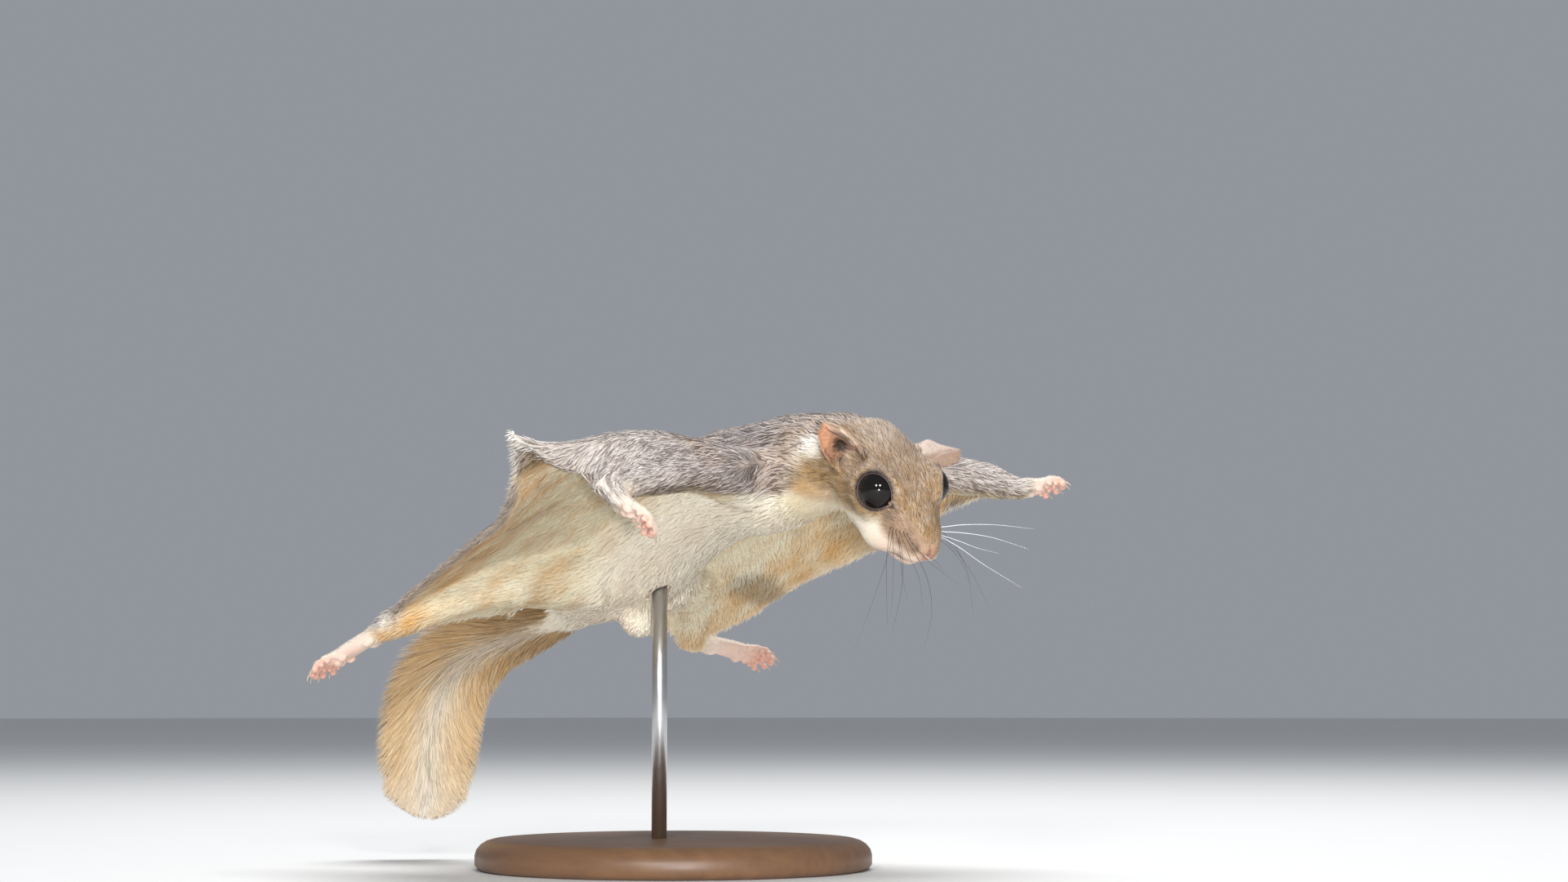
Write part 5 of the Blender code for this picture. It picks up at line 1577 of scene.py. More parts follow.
@dataclass
class TailPlume:
    """The tail's long hair: it leaves the core on both sides and lies back towards the tip."""

    body: Body
    hairs: int = 19000
    hair_width: float = 0.32 * MM
    seed: int = 77
    lag: float = 0.13
    turn_in: float = 0.92
    past: float = 0.085

    NAMES = {1.0: "coat_tail_under_face", -1.0: "coat_tail_upper_face"}

    def build(self) -> list[Item]:
        """Grows the hair of both faces of the tail."""
        return [self._face(face, self.seed + index) for index, face in enumerate((1.0, -1.0))]

    def _read(self, table: Array, place: Array) -> Array:
        """Rows of one of the tail's tables at places from 0 to 1."""
        fine = np.linspace(0.0, 1.0, len(table))
        return np.stack([np.interp(place, fine, column) for column in table.T], axis=1)

    def _face(self, face: float, seed: int) -> Item:
        """Grows the hair of one face.

        Args:
            face: +1 for the side that its normal points to, -1 for the other.
            seed: Chooses the draws.

        Returns:
            The piece.
        """
        draw = np.random.default_rng(seed)
        count = self.hairs // 2
        place = (np.arange(count) + draw.uniform(size=count)) / count * 0.97
        beside = draw.uniform(-1.0, 1.0, size=count)
        row = self._read(self.body.tail, place)
        across = unit(self._read(self.body.tail_across, place))
        normal = unit(self._read(self.body.tail_normal, place)) * face
        core = row[:, 3] * 0.34
        bulge = np.sqrt(np.clip(1.0 - beside**2, 0.0, 1.0))
        root = row[:, :3] + across * (core * beside)[:, None]
        root += normal * (row[:, 4] * 0.42 * bulge)[:, None]
        ahead = place + self.lag + 0.03 * draw.normal(size=count)
        over = np.maximum(ahead - self.turn_in, 0.0)
        ahead = np.minimum(ahead, self.turn_in) + self.past * (1.0 - np.exp(-over / self.past))
        ahead -= 0.02 * ease(over, 0.0, 0.05) * draw.uniform(size=count)
        end = self._read(self.body.tail, np.clip(ahead, 0.0, 1.0))
        end_across = unit(self._read(self.body.tail_across, ahead))
        end_normal = unit(self._read(self.body.tail_normal, ahead)) * face
        reach = np.clip(beside * 1.15 + 0.12 * draw.normal(size=count), -1.0, 1.0)
        reach *= 1.0 - 0.12 * draw.uniform(size=count) ** 2
        reach *= np.sqrt(1.0 - 0.72 * np.clip((ahead - 0.84) / 0.165, 0.0, 1.0) ** 2)
        tip = end[:, :3] + end_across * (end[:, 3] * reach)[:, None]
        flat = np.sqrt(np.clip(1.0 - reach**2, 0.0, 1.0))
        tip += end_normal * (end[:, 4] * (0.25 + 0.6 * flat) * draw.uniform(0.4, 1.0, size=count))[:, None]
        way = tip - root
        length = np.linalg.norm(way, axis=1)
        way = unit(way)
        up = square_to(normal, way)
        lift = np.full(count, 0.35 * MM) * draw.uniform(0.4, 1.4, size=count)
        width = self.hair_width * draw.uniform(0.8, 1.2, size=count)
        tufts = Tufts.straight(root, up, way, length, width, lift, draw.uniform(size=count))
        marks = self._marks(face, place, np.abs(beside), draw)
        spots = np.stack([0.02 + 0.96 * (beside + 1.0) / 2.0, 0.02 + 0.96 * place], axis=1)
        return coat_piece(self.NAMES[face], tufts, marks, True, spots)

    @staticmethod
    def _marks(face: float, place: Array, edge: Array, draw: np.random.Generator) -> Marks:
        """Marks of the tufts.

        Args:
            face: Which face of the tail they grow on.
            place: Shares along the tail.
            edge: Shares from its middle line to its edge.
            draw: Draws the differences from tuft to tuft.

        Returns:
            The marks.
        """
        count = len(place)
        marks = Marks.blank(count)
        middle, near_base = ease(edge, 0.58, 0.0), ease(place, 0.42, 0.05)
        if face > 0.0:
            marks.warm = (1.0 - 0.75 * middle) * (0.86 - 0.38 * place) + 0.13 * draw.normal(size=count)
            marks.tan = (0.20 + 0.66 * near_base) * (1.0 - 0.8 * middle) + 0.10 * draw.normal(size=count)
            marks.back = 0.46 * middle + 0.05 * draw.normal(size=count)
            marks.pale = 0.10 * middle + 0.45 * ease(place, 0.68, 0.97)
        else:
            marks.warm = 0.5 * ease(edge, 0.5, 1.0) + 0.1 * draw.normal(size=count)
            marks.tan = 0.35 + 0.2 * edge
            marks.back = 0.85 - 0.35 * edge
        marks.dark = 0.22 * ease(draw.uniform(size=count), 0.86, 1.0) + (0.12 if face < 0.0 else 0.0)
        for name in Marks.NAMES:
            setattr(marks, name, np.clip(getattr(marks, name), 0.0, 1.0))
        return marks


class Nodes:
    """A short way to write a node tree."""

    def __init__(self, tree: bpy.types.NodeTree) -> None:
        """Keeps the tree."""
        self.tree = tree

    def add(self, kind: str, **values: object) -> bpy.types.Node:
        """A new node with its properties and inputs set, where an input may be another output.

        Args:
            kind: The node's type.
            values: Properties by name, or inputs by name with spaces written as underscores.

        Returns:
            The node.
        """
        node = self.tree.nodes.new(kind)
        inputs = {}
        for name, value in values.items():
            if hasattr(node, name) and name not in ("color", "location"):
                setattr(node, name, value)
            else:
                inputs[name] = value
        for name, value in inputs.items():
            socket = node.inputs[int(name[1:])] if name[1:].isdigit() else node.inputs[name.replace("_", " ")]
            if isinstance(value, Socket):
                self.tree.links.new(value, socket)
            else:
                socket.default_value = value
        return node

    def mix(self, share: object, low: object, high: object, blend: str = "MIX") -> Socket:
        """A colour between two others."""
        node = self.add("ShaderNodeMix", data_type="RGBA", blend_type=blend, i0=share, i6=low, i7=high)
        return node.outputs[2]

    def math(self, kind: str, *values: object) -> Socket:
        """The result of a sum on values or outputs."""
        node = self.tree.nodes.new("ShaderNodeMath")
        node.operation = kind
        for socket, value in zip(node.inputs, values):
            if isinstance(value, Socket):
                self.tree.links.new(value, socket)
            else:
                socket.default_value = value
        return node.outputs[0]

    def share(self, name: str) -> Socket:
        """One of the numbers stored on the vertices."""
        return self.add("ShaderNodeAttribute", attribute_name=name).outputs["Fac"]


def group_of(
    name: str, inputs: dict[str, str], outputs: dict[str, str]
) -> tuple[Nodes, bpy.types.Node, bpy.types.Node]:
    """An empty node group with named sockets.

    Args:
        name: The group's name.
        inputs: Socket types by name.
        outputs: Socket types by name.

    Returns:
        Its nodes, its input node and its output node.
    """
    tree = bpy.data.node_groups.new(name, "ShaderNodeTree")
    for label, kind in inputs.items():
        tree.interface.new_socket(name=label, in_out="INPUT", socket_type=kind)
    for label, kind in outputs.items():
        tree.interface.new_socket(name=label, in_out="OUTPUT", socket_type=kind)
    return Nodes(tree), tree.nodes.new("NodeGroupInput"), tree.nodes.new("NodeGroupOutput")


def rgb(red: float, green: float, blue: float) -> tuple[float, float, float, float]:
    """A colour with full opacity."""
    return red, green, blue, 1.0


@dataclass(frozen=True)
class CoatColours:
    """The coat's colours, as the photo's light shows them."""

    belly: tuple[float, ...] = rgb(0.80, 0.73, 0.54)
    back: tuple[float, ...] = rgb(0.42, 0.36, 0.33)
    tan: tuple[float, ...] = rgb(0.37, 0.225, 0.090)
    warm: tuple[float, ...] = rgb(0.64, 0.365, 0.12)
    pale: tuple[float, ...] = rgb(0.86, 0.81, 0.72)
    dark: tuple[float, ...] = rgb(0.045, 0.028, 0.020)
    bare: tuple[float, ...] = rgb(0.66, 0.32, 0.235)
    shade: tuple[float, ...] = rgb(0.36, 0.32, 0.31)
    warm_tip: tuple[float, ...] = rgb(0.90, 0.74, 0.48)
    grey_tip: tuple[float, ...] = rgb(0.80, 0.75, 0.76)


class Groups:
    """The shared effects, each built once."""

    def __init__(self, colours: CoatColours) -> None:
        """Builds the groups."""
        self.colours = colours
        self.markings = self._markings()
        self.hair = self._hair()
        self.grain = self._grain()

    def _markings(self) -> bpy.types.NodeTree:
        """The animal's colours from the shares stored on it."""
        nodes, start, end = group_of(
            "coat_markings",
            {name.capitalize(): "NodeSocketFloat" for name in Marks.NAMES},
            {"Color": "NodeSocketColor"},
        )
        colours = self.colours
        result = nodes.mix(start.outputs["Warm"], colours.belly, colours.warm)
        for name in ("back", "tan", "pale", "bare", "dark"):
            result = nodes.mix(start.outputs[name.capitalize()], result, getattr(colours, name))
        nodes.tree.links.new(result, end.inputs["Color"])
        return nodes.tree

    def _hair(self) -> bpy.types.NodeTree:
        """Variation from tuft to tuft and from root to tip."""
        nodes, start, end = group_of(
            "hair_variation",
            {"Color": "NodeSocketColor", "Chance": "NodeSocketFloat", "Along": "NodeSocketFloat",
             "Back": "NodeSocketFloat", "Tan": "NodeSocketFloat"},
            {"Color": "NodeSocketColor", "Roughness": "NodeSocketFloat"},
        )
        colour, chance, back = start.outputs["Color"], start.outputs["Chance"], start.outputs["Back"]
        colours = self.colours
        shade = nodes.mix(1.0, colour, colours.shade, "MULTIPLY")
        tip = nodes.mix(back, colours.warm_tip, colours.grey_tip)
        light = nodes.math("MULTIPLY", nodes.math("POWER", chance, 2.5), start.outputs["Along"])
        strength = nodes.math("MULTIPLY_ADD", back, 0.45, 0.30)
        colour = nodes.mix(nodes.math("MULTIPLY", light, strength), colour, tip)
        low = nodes.math("LESS_THAN", chance, 0.3)
        on_tan = nodes.math("MULTIPLY", start.outputs["Tan"], 0.72)
        strength = nodes.math("ADD", nodes.math("MULTIPLY_ADD", back, 0.65, 0.10), on_tan)
        colour = nodes.mix(nodes.math("MULTIPLY", low, nodes.math("MINIMUM", strength, 0.9)), colour, shade)
        past_root = nodes.math("MINIMUM", nodes.math("MULTIPLY", start.outputs["Along"], 2.2), 1.0)
        root = nodes.math("SUBTRACT", 1.0, past_root)
        colour = nodes.mix(nodes.math("MULTIPLY", root, 0.42), colour, shade)
        nodes.tree.links.new(colour, end.inputs["Color"])
        nodes.tree.links.new(nodes.math("MULTIPLY_ADD", chance, 0.2, 0.55), end.inputs["Roughness"])
        return nodes.tree

    def _grain(self) -> bpy.types.NodeTree:
        """Fine unevenness of a surface as a height and a mask."""
        nodes, start, end = group_of(
            "fine_grain",
            {"Scale": "NodeSocketFloat", "Stretch": "NodeSocketVector"},
            {"Height": "NodeSocketFloat", "Mask": "NodeSocketFloat"},
        )
        place = nodes.add("ShaderNodeTexCoord").outputs["Object"]
        stretch = start.outputs["Stretch"]
        stretched = nodes.add("ShaderNodeVectorMath", operation="MULTIPLY", i0=place, i1=stretch)
        noise = nodes.add("ShaderNodeTexNoise", Vector=stretched.outputs[0], Scale=start.outputs["Scale"],
                          Detail=6.0, Roughness=0.6)
        wide = nodes.math("MULTIPLY", start.outputs["Scale"], 0.2)
        broad = nodes.add("ShaderNodeTexNoise", Vector=place, Scale=wide, Detail=3.0)
        nodes.tree.links.new(noise.outputs["Fac"], end.inputs["Height"])
        nodes.tree.links.new(broad.outputs["Fac"], end.inputs["Mask"])
        return nodes.tree


@dataclass(frozen=True)
class Finish:
    """A material: its name, its constant gloss and the way its nodes are made."""

    name: str
    roughness: float = 0.6
    metallic: float = 0.0
    sheen: float = 0.0
    gloss: float = 0.5
    subsurface: float = 0.0

    def start(self) -> tuple[bpy.types.Material, Nodes, bpy.types.Node]:
        """A new material with its shader's constants set."""
        material = bpy.data.materials.new(self.name)
        material.use_nodes = True
        shader = material.node_tree.nodes["Principled BSDF"]
        shader.inputs["Roughness"].default_value = self.roughness
        shader.inputs["Metallic"].default_value = self.metallic
        shader.inputs["Sheen Weight"].default_value = self.sheen
        shader.inputs["Specular IOR Level"].default_value = self.gloss
        shader.inputs["Subsurface Weight"].default_value = self.subsurface
        shader.inputs["Subsurface Scale"].default_value = 1.0 * MM
        return material, Nodes(material.node_tree), shader


def marked_colour(nodes: Nodes, groups: Groups) -> Socket:
    """The markings group fed by the shares stored on the mesh."""
    shares = {name.capitalize(): nodes.share(name) for name in Marks.NAMES}
    return nodes.add("ShaderNodeGroup", node_tree=groups.markings, **shares).outputs["Color"]


@dataclass(frozen=True)
class CoatFinish(Finish):
    """The coat's hair."""

    def make(self, groups: Groups) -> bpy.types.Material:
        """Builds the material."""
        material, nodes, shader = self.start()
        shares = {name.capitalize(): nodes.share(name) for name in ("chance", "along", "back", "tan")}
        shares["Color"] = marked_colour(nodes, groups)
        hair = nodes.add("ShaderNodeGroup", node_tree=groups.hair, **shares)
        links = nodes.tree.links
        links.new(hair.outputs["Color"], shader.inputs["Base Color"])
        links.new(hair.outputs["Roughness"], shader.inputs["Roughness"])
        return material


@dataclass(frozen=True)
class SkinFinish(Finish):
    """The skin under the coat, with the coat's markings, and bare where they say so."""

    scale: float = 1400.0
    bump: float = 0.25 * MM

    def make(self, groups: Groups) -> bpy.types.Material:
        """Builds the material."""
        material, nodes, shader = self.start()
        grain = nodes.add(
            "ShaderNodeGroup", node_tree=groups.grain, Scale=self.scale, Stretch=(1.0, 1.0, 1.0)
        )
        mask = nodes.math("MULTIPLY", grain.outputs["Mask"], 0.45)
        shade = nodes.mix(mask, marked_colour(nodes, groups), rgb(0.62, 0.46, 0.42), "MULTIPLY")
        nodes.tree.links.new(shade, shader.inputs["Base Color"])
        bump = nodes.add("ShaderNodeBump", Height=grain.outputs["Height"], Strength=0.4, Distance=self.bump)
        nodes.tree.links.new(bump.outputs["Normal"], shader.inputs["Normal"])
        return material


@dataclass(frozen=True)
class PlainFinish(Finish):
    """Two colours that drift into each other with a fine grain over them."""

    first: tuple[float, ...] = rgb(0.5, 0.5, 0.5)
    second: tuple[float, ...] = rgb(0.6, 0.6, 0.6)
    scale: float = 200.0
    stretch: Place = (1.0, 1.0, 1.0)
    bump: float = 0.02 * MM
    rough_swing: float = 0.0
    inlay: str = ""
    inlay_colour: tuple[float, ...] = rgb(0.5, 0.5, 0.5)

    def make(self, groups: Groups) -> bpy.types.Material:
        """Builds the material."""
        material, nodes, shader = self.start()
        grain = nodes.add("ShaderNodeGroup", node_tree=groups.grain, Scale=self.scale, Stretch=self.stretch)
        links = nodes.tree.links
        colour = nodes.mix(grain.outputs["Height"], self.first, self.second)
        if self.inlay:
            colour = nodes.mix(nodes.share(self.inlay), colour, self.inlay_colour)
        links.new(colour, shader.inputs["Base Color"])
        bump = nodes.add("ShaderNodeBump", Height=grain.outputs["Height"], Strength=0.5, Distance=self.bump)
        links.new(bump.outputs["Normal"], shader.inputs["Normal"])
        if self.rough_swing > 0.0:
            rough = nodes.math("MULTIPLY_ADD", grain.outputs["Mask"], self.rough_swing, self.roughness)
            links.new(rough, shader.inputs["Roughness"])
        return material


@dataclass
class Lids:
    """The eyes: glossy balls, their dark lids and the flesh in their tear corners."""

    body: Body
    radius: float = 5.0 * MM
    steps: int = 132
    corner: float = 0.75 * MM
    corner_rim: float = 1.25 * MM
    corner_turn: float = 0.20
    ball: PlainFinish = PlainFinish(
        "eye_black", roughness=0.03, gloss=0.3, first=rgb(0.004, 0.003, 0.003),
        second=rgb(0.010, 0.007, 0.006),
        scale=90.0, bump=0.0,
    )
    lid: PlainFinish = PlainFinish(
        "lid_dark", roughness=0.36, first=rgb(0.014, 0.009, 0.008),
        second=rgb(0.050, 0.030, 0.026), scale=900.0,
        bump=0.06 * MM, inlay="margin", inlay_colour=rgb(0.17, 0.12, 0.125),
    )
    flesh: PlainFinish = PlainFinish(
        "tear_corner", roughness=0.22, first=rgb(0.26, 0.10, 0.085),
        second=rgb(0.40, 0.19, 0.15), scale=700.0,
        bump=0.05 * MM,
    )

    OPEN = 4.30 * MM
    OUTER = 4.88 * MM

    def build(self, groups: Groups, tree: BVHTree) -> list[Item]:
        """Builds both eyes.

        Args:
            groups: The shared effects.
            tree: The skin's faces.

        Returns:
            The pieces.
        """
        ball, lid, flesh = self.ball.make(groups), self.lid.make(groups), self.flesh.make(groups)
        items = []
        for side in Side:
            centre, looks = self.body.eye(side)
            turn = np.array(UP.rotation_difference(Vector(looks)).to_matrix())
            eye = merged("eyeball_" + side.label, [round_arrays(centre, [self.radius] * 3, turn, 72)])
            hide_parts("eye_" + side.label)
            items += [
                finished(eye, ball), finished(self._rim(side, tree), lid),
                finished(self._tear(side, tree), flesh),
            ]
        return items

    def _axes(self, side: Side) -> tuple[Array, Array, Array, Array]:
        """Centre, the way the eye looks, the way to the nose across it and the way up across it."""
        centre, looks = self.body.eye(side)
        forward = self.body.head_turn[:, 0]
        nose = unit(forward - looks * (forward @ looks))
        return centre, looks, nose, np.cross(looks, nose) * side.value

    def _height(self, place: Array, looks: Array, centre: Array, tree: BVHTree) -> float:
        """How high the skin stands over the eye's centre at a place beside it."""
        start = Vector(centre + place + looks * 9.0 * MM)
        hit, _, _, _ = tree.ray_cast(start, Vector(-looks))
        return 0.0 if hit is None else float((np.array(hit) - centre) @ looks)

    @staticmethod
    def _even(heights: Sequence[float]) -> Array:
        """Heights round the eye, each evened out with its neighbours."""
        heights = np.array(heights)
        return sum(np.roll(heights, step) for step in range(-5, 6)) / 11.0

    def _rim(self, side: Side, tree: BVHTree) -> Item:
        """The lids of one eye as one closed ring."""
        centre, looks, nose, above = self._axes(side)
        turns = np.linspace(-math.pi, math.pi, self.steps, endpoint=False)
        ways = nose * np.cos(turns)[:, None] + above * np.sin(turns)[:, None]
        point = np.exp(-((turns / self.corner_turn) ** 2)) + 0.22 * np.exp(-((turns / 0.6) ** 2))
        inner, outer = self.OPEN + self.corner * point, self.OUTER + self.corner_rim * point
        spans = [inner + (outer - inner) * share for share in (0.0, 0.25, 0.6, 1.0)]
        skin = [
            self._even([self._height(way * span, looks, centre, tree) for way, span in zip(ways, ring)])
            for ring in spans
        ]
        ball = [np.sqrt(np.maximum(self.radius**2 - ring**2, 0.0)) for ring in spans]
        brim = np.maximum(ball[0], skin[1] - 0.45 * MM)
        low, high = brim + 0.08 * MM, np.maximum(ball[1], skin[1]) + 0.22 * MM
        rows = (
            (inner - 0.02 * MM, brim - 0.25 * MM), (inner, low), (inner + 0.07 * MM, low + 0.10 * MM),
            (spans[1], high), (spans[2], np.maximum(ball[2], skin[2]) + 0.16 * MM),
            (spans[3], skin[3] + 0.03 * MM), (spans[3], skin[3] - 0.5 * MM), (spans[1], brim - 0.6 * MM),
        )
        rings = [centre + ways * span[:, None] + looks * rise[:, None] for span, rise in rows]
        points = np.concatenate(rings)
        last = len(points)
        faces = [tuple(k % last for k in face) for face in ring_faces(len(rows) + 1, self.steps)]
        item = merged("lids_" + side.label, [(points, faces)])
        margin = np.zeros(len(points))
        margin[: self.steps * 3] = 1.0
        write_shares(item.data, "margin", margin)
        return item

    def _tear(self, side: Side, tree: BVHTree) -> Item:
        """The small pink bead in the corner toward the nose."""
        centre, looks, nose, above = self._axes(side)
        parts = []
        for span, radii in ((4.75 * MM, (0.70, 0.42, 0.30)), (5.45 * MM, (0.55, 0.28, 0.24))):
            high = max(min(self._height(nose * span, looks, centre, tree), 2.05 * MM), 1.4 * MM) - 0.05 * MM
            turn = np.stack([nose, above * side.value, looks], axis=1)
            parts.append(round_arrays(centre + nose * span + looks * high, [r * MM for r in radii], turn, 20))
        return merged("tear_corner_" + side.label, parts)


@dataclass(frozen=True)
class Whisker:
    """One whisker: its root in the head's axes and its bends from there, in millimetres.

    A bend is given across the head to the animal's left and front, upward, and outward on
    the right side.
    """

    root: Place
    bends: tuple[Place, ...]
    thick: float = 0.085
    # Whether the whisker is coloured near white, a painted highlight for a dark whisker that catches the
    # light.
    pale: bool = False


@dataclass
class Whiskers:
    """The whiskers: dark ones that hang from the right cheek and near-white ones out of the left, whose
    colour is a painted highlight for the light that they catch.
    """

    body: Body
    steps: int = 26
    sides: int = 6
    hold: float = 0.16 * MM
    dark: PlainFinish = PlainFinish(
        "whisker_dark", roughness=0.35, first=rgb(0.030, 0.018, 0.014), second=rgb(0.07, 0.045, 0.036),
        scale=300.0, bump=0.0,
    )
    # Near white: a painted highlight standing in for the light that the whiskers catch.
    pale: PlainFinish = PlainFinish(
        "whisker_painted_highlight", roughness=0.30, first=rgb(0.80, 0.80, 0.82), second=rgb(0.90, 0.90, 0.90),
        scale=300.0, bump=0.0,
    )

    ACROSS = (0.725, -0.688, 0.0)
    OUT = (-0.69, -0.72, 0.0)
    SET = (
        Whisker(
            (18.7, -7.0, -1.8),
            ((-0.9, -4.2, 0.6), (-1.3, -7.4, 0.3), (-1.4, -14.0, 0.6), (-1.2, -24.0, 1.6)),
        ),
        Whisker(
            (19.3, -6.8, -1.7),
            ((-0.2, -4.2, 0.5), (-0.2, -7.8, 0.2), (-0.4, -14.0, 0.8), (-0.9, -21.0, 2.0)),
        ),
        Whisker(
            (20.0, -6.4, -1.7),
            ((0.6, -4.0, 0.4), (0.9, -7.4, 0.3), (1.2, -11.0, 1.2), (2.4, -17.0, 3.0)),
        ),
        Whisker(
            (20.8, -6.0, -1.4),
            ((1.3, -3.8, 0.4), (2.3, -6.6, 0.4), (4.4, -11.5, 1.6), (5.2, -18.0, 3.2)),
        ),
        Whisker(
            (21.6, -5.6, -1.0),
            ((1.5, -3.4, 0.5), (3.0, -6.0, 0.8), (5.6, -12.0, 2.6), (6.4, -20.0, 4.6), (4.6, -28.0, 6.4)),
        ),
        Whisker(
            (22.4, -5.2, -0.9),
            ((1.6, -3.0, 0.5), (3.4, -5.2, 1.0), (7.4, -9.0, 3.4), (12.5, -13.0, 6.4)),
        ),
        Whisker(
            (19.6, -6.4, -3.2),
            ((-0.7, -2.8, 0.6), (-1.6, -6.0, 1.0), (-4.6, -15.0, 3.4), (-10.0, -29.0, 6.0)), 0.06,
        ),
        Whisker(
            (21.2, -5.4, -3.0),
            ((0.4, -2.6, 0.6), (0.7, -5.6, 1.2), (0.2, -13.0, 4.2), (-2.0, -23.0, 8.0)), 0.07,
        ),
        Whisker(
            (23.2, -4.6, -1.6),
            ((1.5, -2.2, 0.6), (3.0, -3.8, 1.4), (6.0, -5.8, 3.8), (8.6, -9.6, 6.2)), 0.07,
        ),
        Whisker((24.0, -3.9, -2.2), ((1.0, -1.4, 0.6), (2.4, -2.8, 1.2), (4.6, -4.9, 2.6)), 0.09, True),
        Whisker((21.0, 5.6, -1.2), ((5.0, 0.6, -2.0), (12.0, 0.9, -5.2), (24.0, 0.2, -11.5)), 0.085, True),
        Whisker((21.6, 5.4, -2.0), ((5.0, -0.2, -2.0), (12.0, -1.0, -5.0), (22.5, -3.8, -10.5)), 0.085, True),
        Whisker((22.2, 5.0, -2.6), ((4.4, -1.2, -1.4), (9.0, -2.8, -3.4), (15.0, -4.2, -6.0)), 0.075, True),
        Whisker((21.4, 5.2, -3.4), ((4.6, -2.2, -1.6), (11.0, -6.4, -4.4), (21.5, -12.5, -9.0)), 0.08, True),
        Whisker((20.2, 5.8, -3.6), ((3.6, -2.8, -1.8), (8.4, -8.6, -4.6), (13.6, -18.5, -8.0)), 0.07),
        Whisker((19.4, 6.2, -3.0), ((3.4, -2.6, -2.0), (7.6, -9.6, -5.2), (9.4, -21.0, -8.0)), 0.07),
        Whisker((23.0, 4.4, -3.4), ((2.8, -2.0, -0.6), (5.6, -5.4, -1.8), (8.0, -11.0, -3.6)), 0.065),
        Whisker((12.2, -6.0, 7.6), ((0.6, 2.6, 0.8), (2.0, 5.4, 2.4), (4.4, 8.0, 4.4)), 0.06),
        Whisker((11.0, -6.6, 7.6), ((-0.4, 2.4, 0.8), (-0.2, 5.0, 2.6), (1.2, 7.6, 4.8)), 0.055),
    )

    def build(self, groups: Groups, tree: BVHTree) -> list[Item]:
        """Builds the dark whiskers and the near-white ones, whose colour is a painted highlight.

        Args:
            groups: The shared effects.
            tree: The skin's faces.

        Returns:
            The pieces.
        """
        items = []
        kinds = (("whiskers_dark", False, self.dark), ("whiskers_painted_highlight", True, self.pale))
        for name, is_highlit, finish in kinds:
            parts = [self._strand(whisker, tree) for whisker in self.SET if whisker.pale is is_highlit]
            items.append(finished(merged(name, parts), finish.make(groups)))
        return items

    def _strand(self, whisker: Whisker, tree: BVHTree) -> Form:
        """One whisker's tube, which starts in the skin and is held off it."""
        axes = np.array([self.ACROSS, (0.0, 0.0, 1.0), self.OUT])
        near, up, _, _ = tree.find_nearest(self.body.head_point(*whisker.root))
        root = np.array(near)
        places = [root - np.array(up) * 0.4 * MM, root + np.array(up) * 0.12 * MM]
        places += [root + np.array(bend) @ axes * MM for bend in whisker.bends]
        line = smooth_rows(places, self.steps)
        for i in range(2, self.steps):
            near, up, _, _ = tree.find_nearest(Vector(line[i]))
            over = (line[i] - np.array(near)) @ np.array(up)
            if over < self.hold and np.linalg.norm(line[i] - np.array(near)) < 3.0 * MM:
                line[i] += np.array(up) * (self.hold - over)
        radius = whisker.thick * MM * np.linspace(1.0, 0.18, self.steps)
        rows = np.concatenate([line, radius[:, None], radius[:, None]], axis=1)
        return tube_arrays(rows, np.tile(self.OUT, (self.steps, 1)), self.sides)


@dataclass
class Stand:
    """The turned wooden foot and its steel rod."""

    radius: float = 52.0 * MM
    height: float = 8.0 * MM
    rod_radius: float = 2.0 * MM
    rod_at: tuple[float, float] = (-2.5 * MM, 3.0 * MM)
    wood: PlainFinish = PlainFinish(
        "oiled_dark_wood", roughness=0.32, first=rgb(0.10, 0.050, 0.026), second=rgb(0.24, 0.125, 0.062),
        scale=260.0, stretch=(1.0, 0.06, 1.0), bump=0.05 * MM, rough_swing=0.2,
    )
    steel: PlainFinish = PlainFinish(
        "satin_steel", roughness=0.26, metallic=1.0, first=rgb(0.52, 0.52, 0.53),
        second=rgb(0.66, 0.66, 0.67),
        scale=2600.0, stretch=(1.0, 1.0, 0.02), bump=0.004 * MM, rough_swing=0.12,
    )

    PROFILE = ((0.0, 0.0), (0.965, 0.0), (0.985, 0.06), (1.0, 0.18), (1.0, 0.48), (0.992, 0.66),
                (0.972, 0.82),
               (0.945, 0.93), (0.915, 0.985), (0.885, 1.0), (0.0, 1.0))

    def build(self, groups: Groups) -> list[Item]:
        """Builds the foot and the rod."""
        outline = [(r * self.radius, z * self.height) for r, z in self.PROFILE[1:-1]]
        base = self._turned("stand_foot", outline, (0.0, 0.0), 144)
        finished(base, self.wood.make(groups))
        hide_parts("stand_base")
        low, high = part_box("stand_rod")
        outline = [(self.rod_radius, low.z), (self.rod_radius, high.z)]
        rod = self._turned("stand_pin", outline, self.rod_at, 48)
        finished(rod, self.steel.make(groups))
        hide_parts("stand_rod")
        return [base, rod]

    @staticmethod
    def _turned(
        name: str, outline: Sequence[tuple[float, float]], at: tuple[float, float], sides: int
    ) -> Item:
        """A solid of revolution about an upright line through a place."""
        turn = np.linspace(0.0, 2.0 * math.pi, sides, endpoint=False)
        points = [
            (at[0] + radius * math.cos(t), at[1] + radius * math.sin(t), z)
            for radius, z in outline
            for t in turn
        ]
        faces = [(a, b, d, c) for a, c, d, b in ring_faces(len(outline), sides)]
        faces.append(tuple(reversed(range(sides))))
        faces.append(tuple(range((len(outline) - 1) * sides, len(outline) * sides)))
        return loose_object(name, np.array(points), faces)


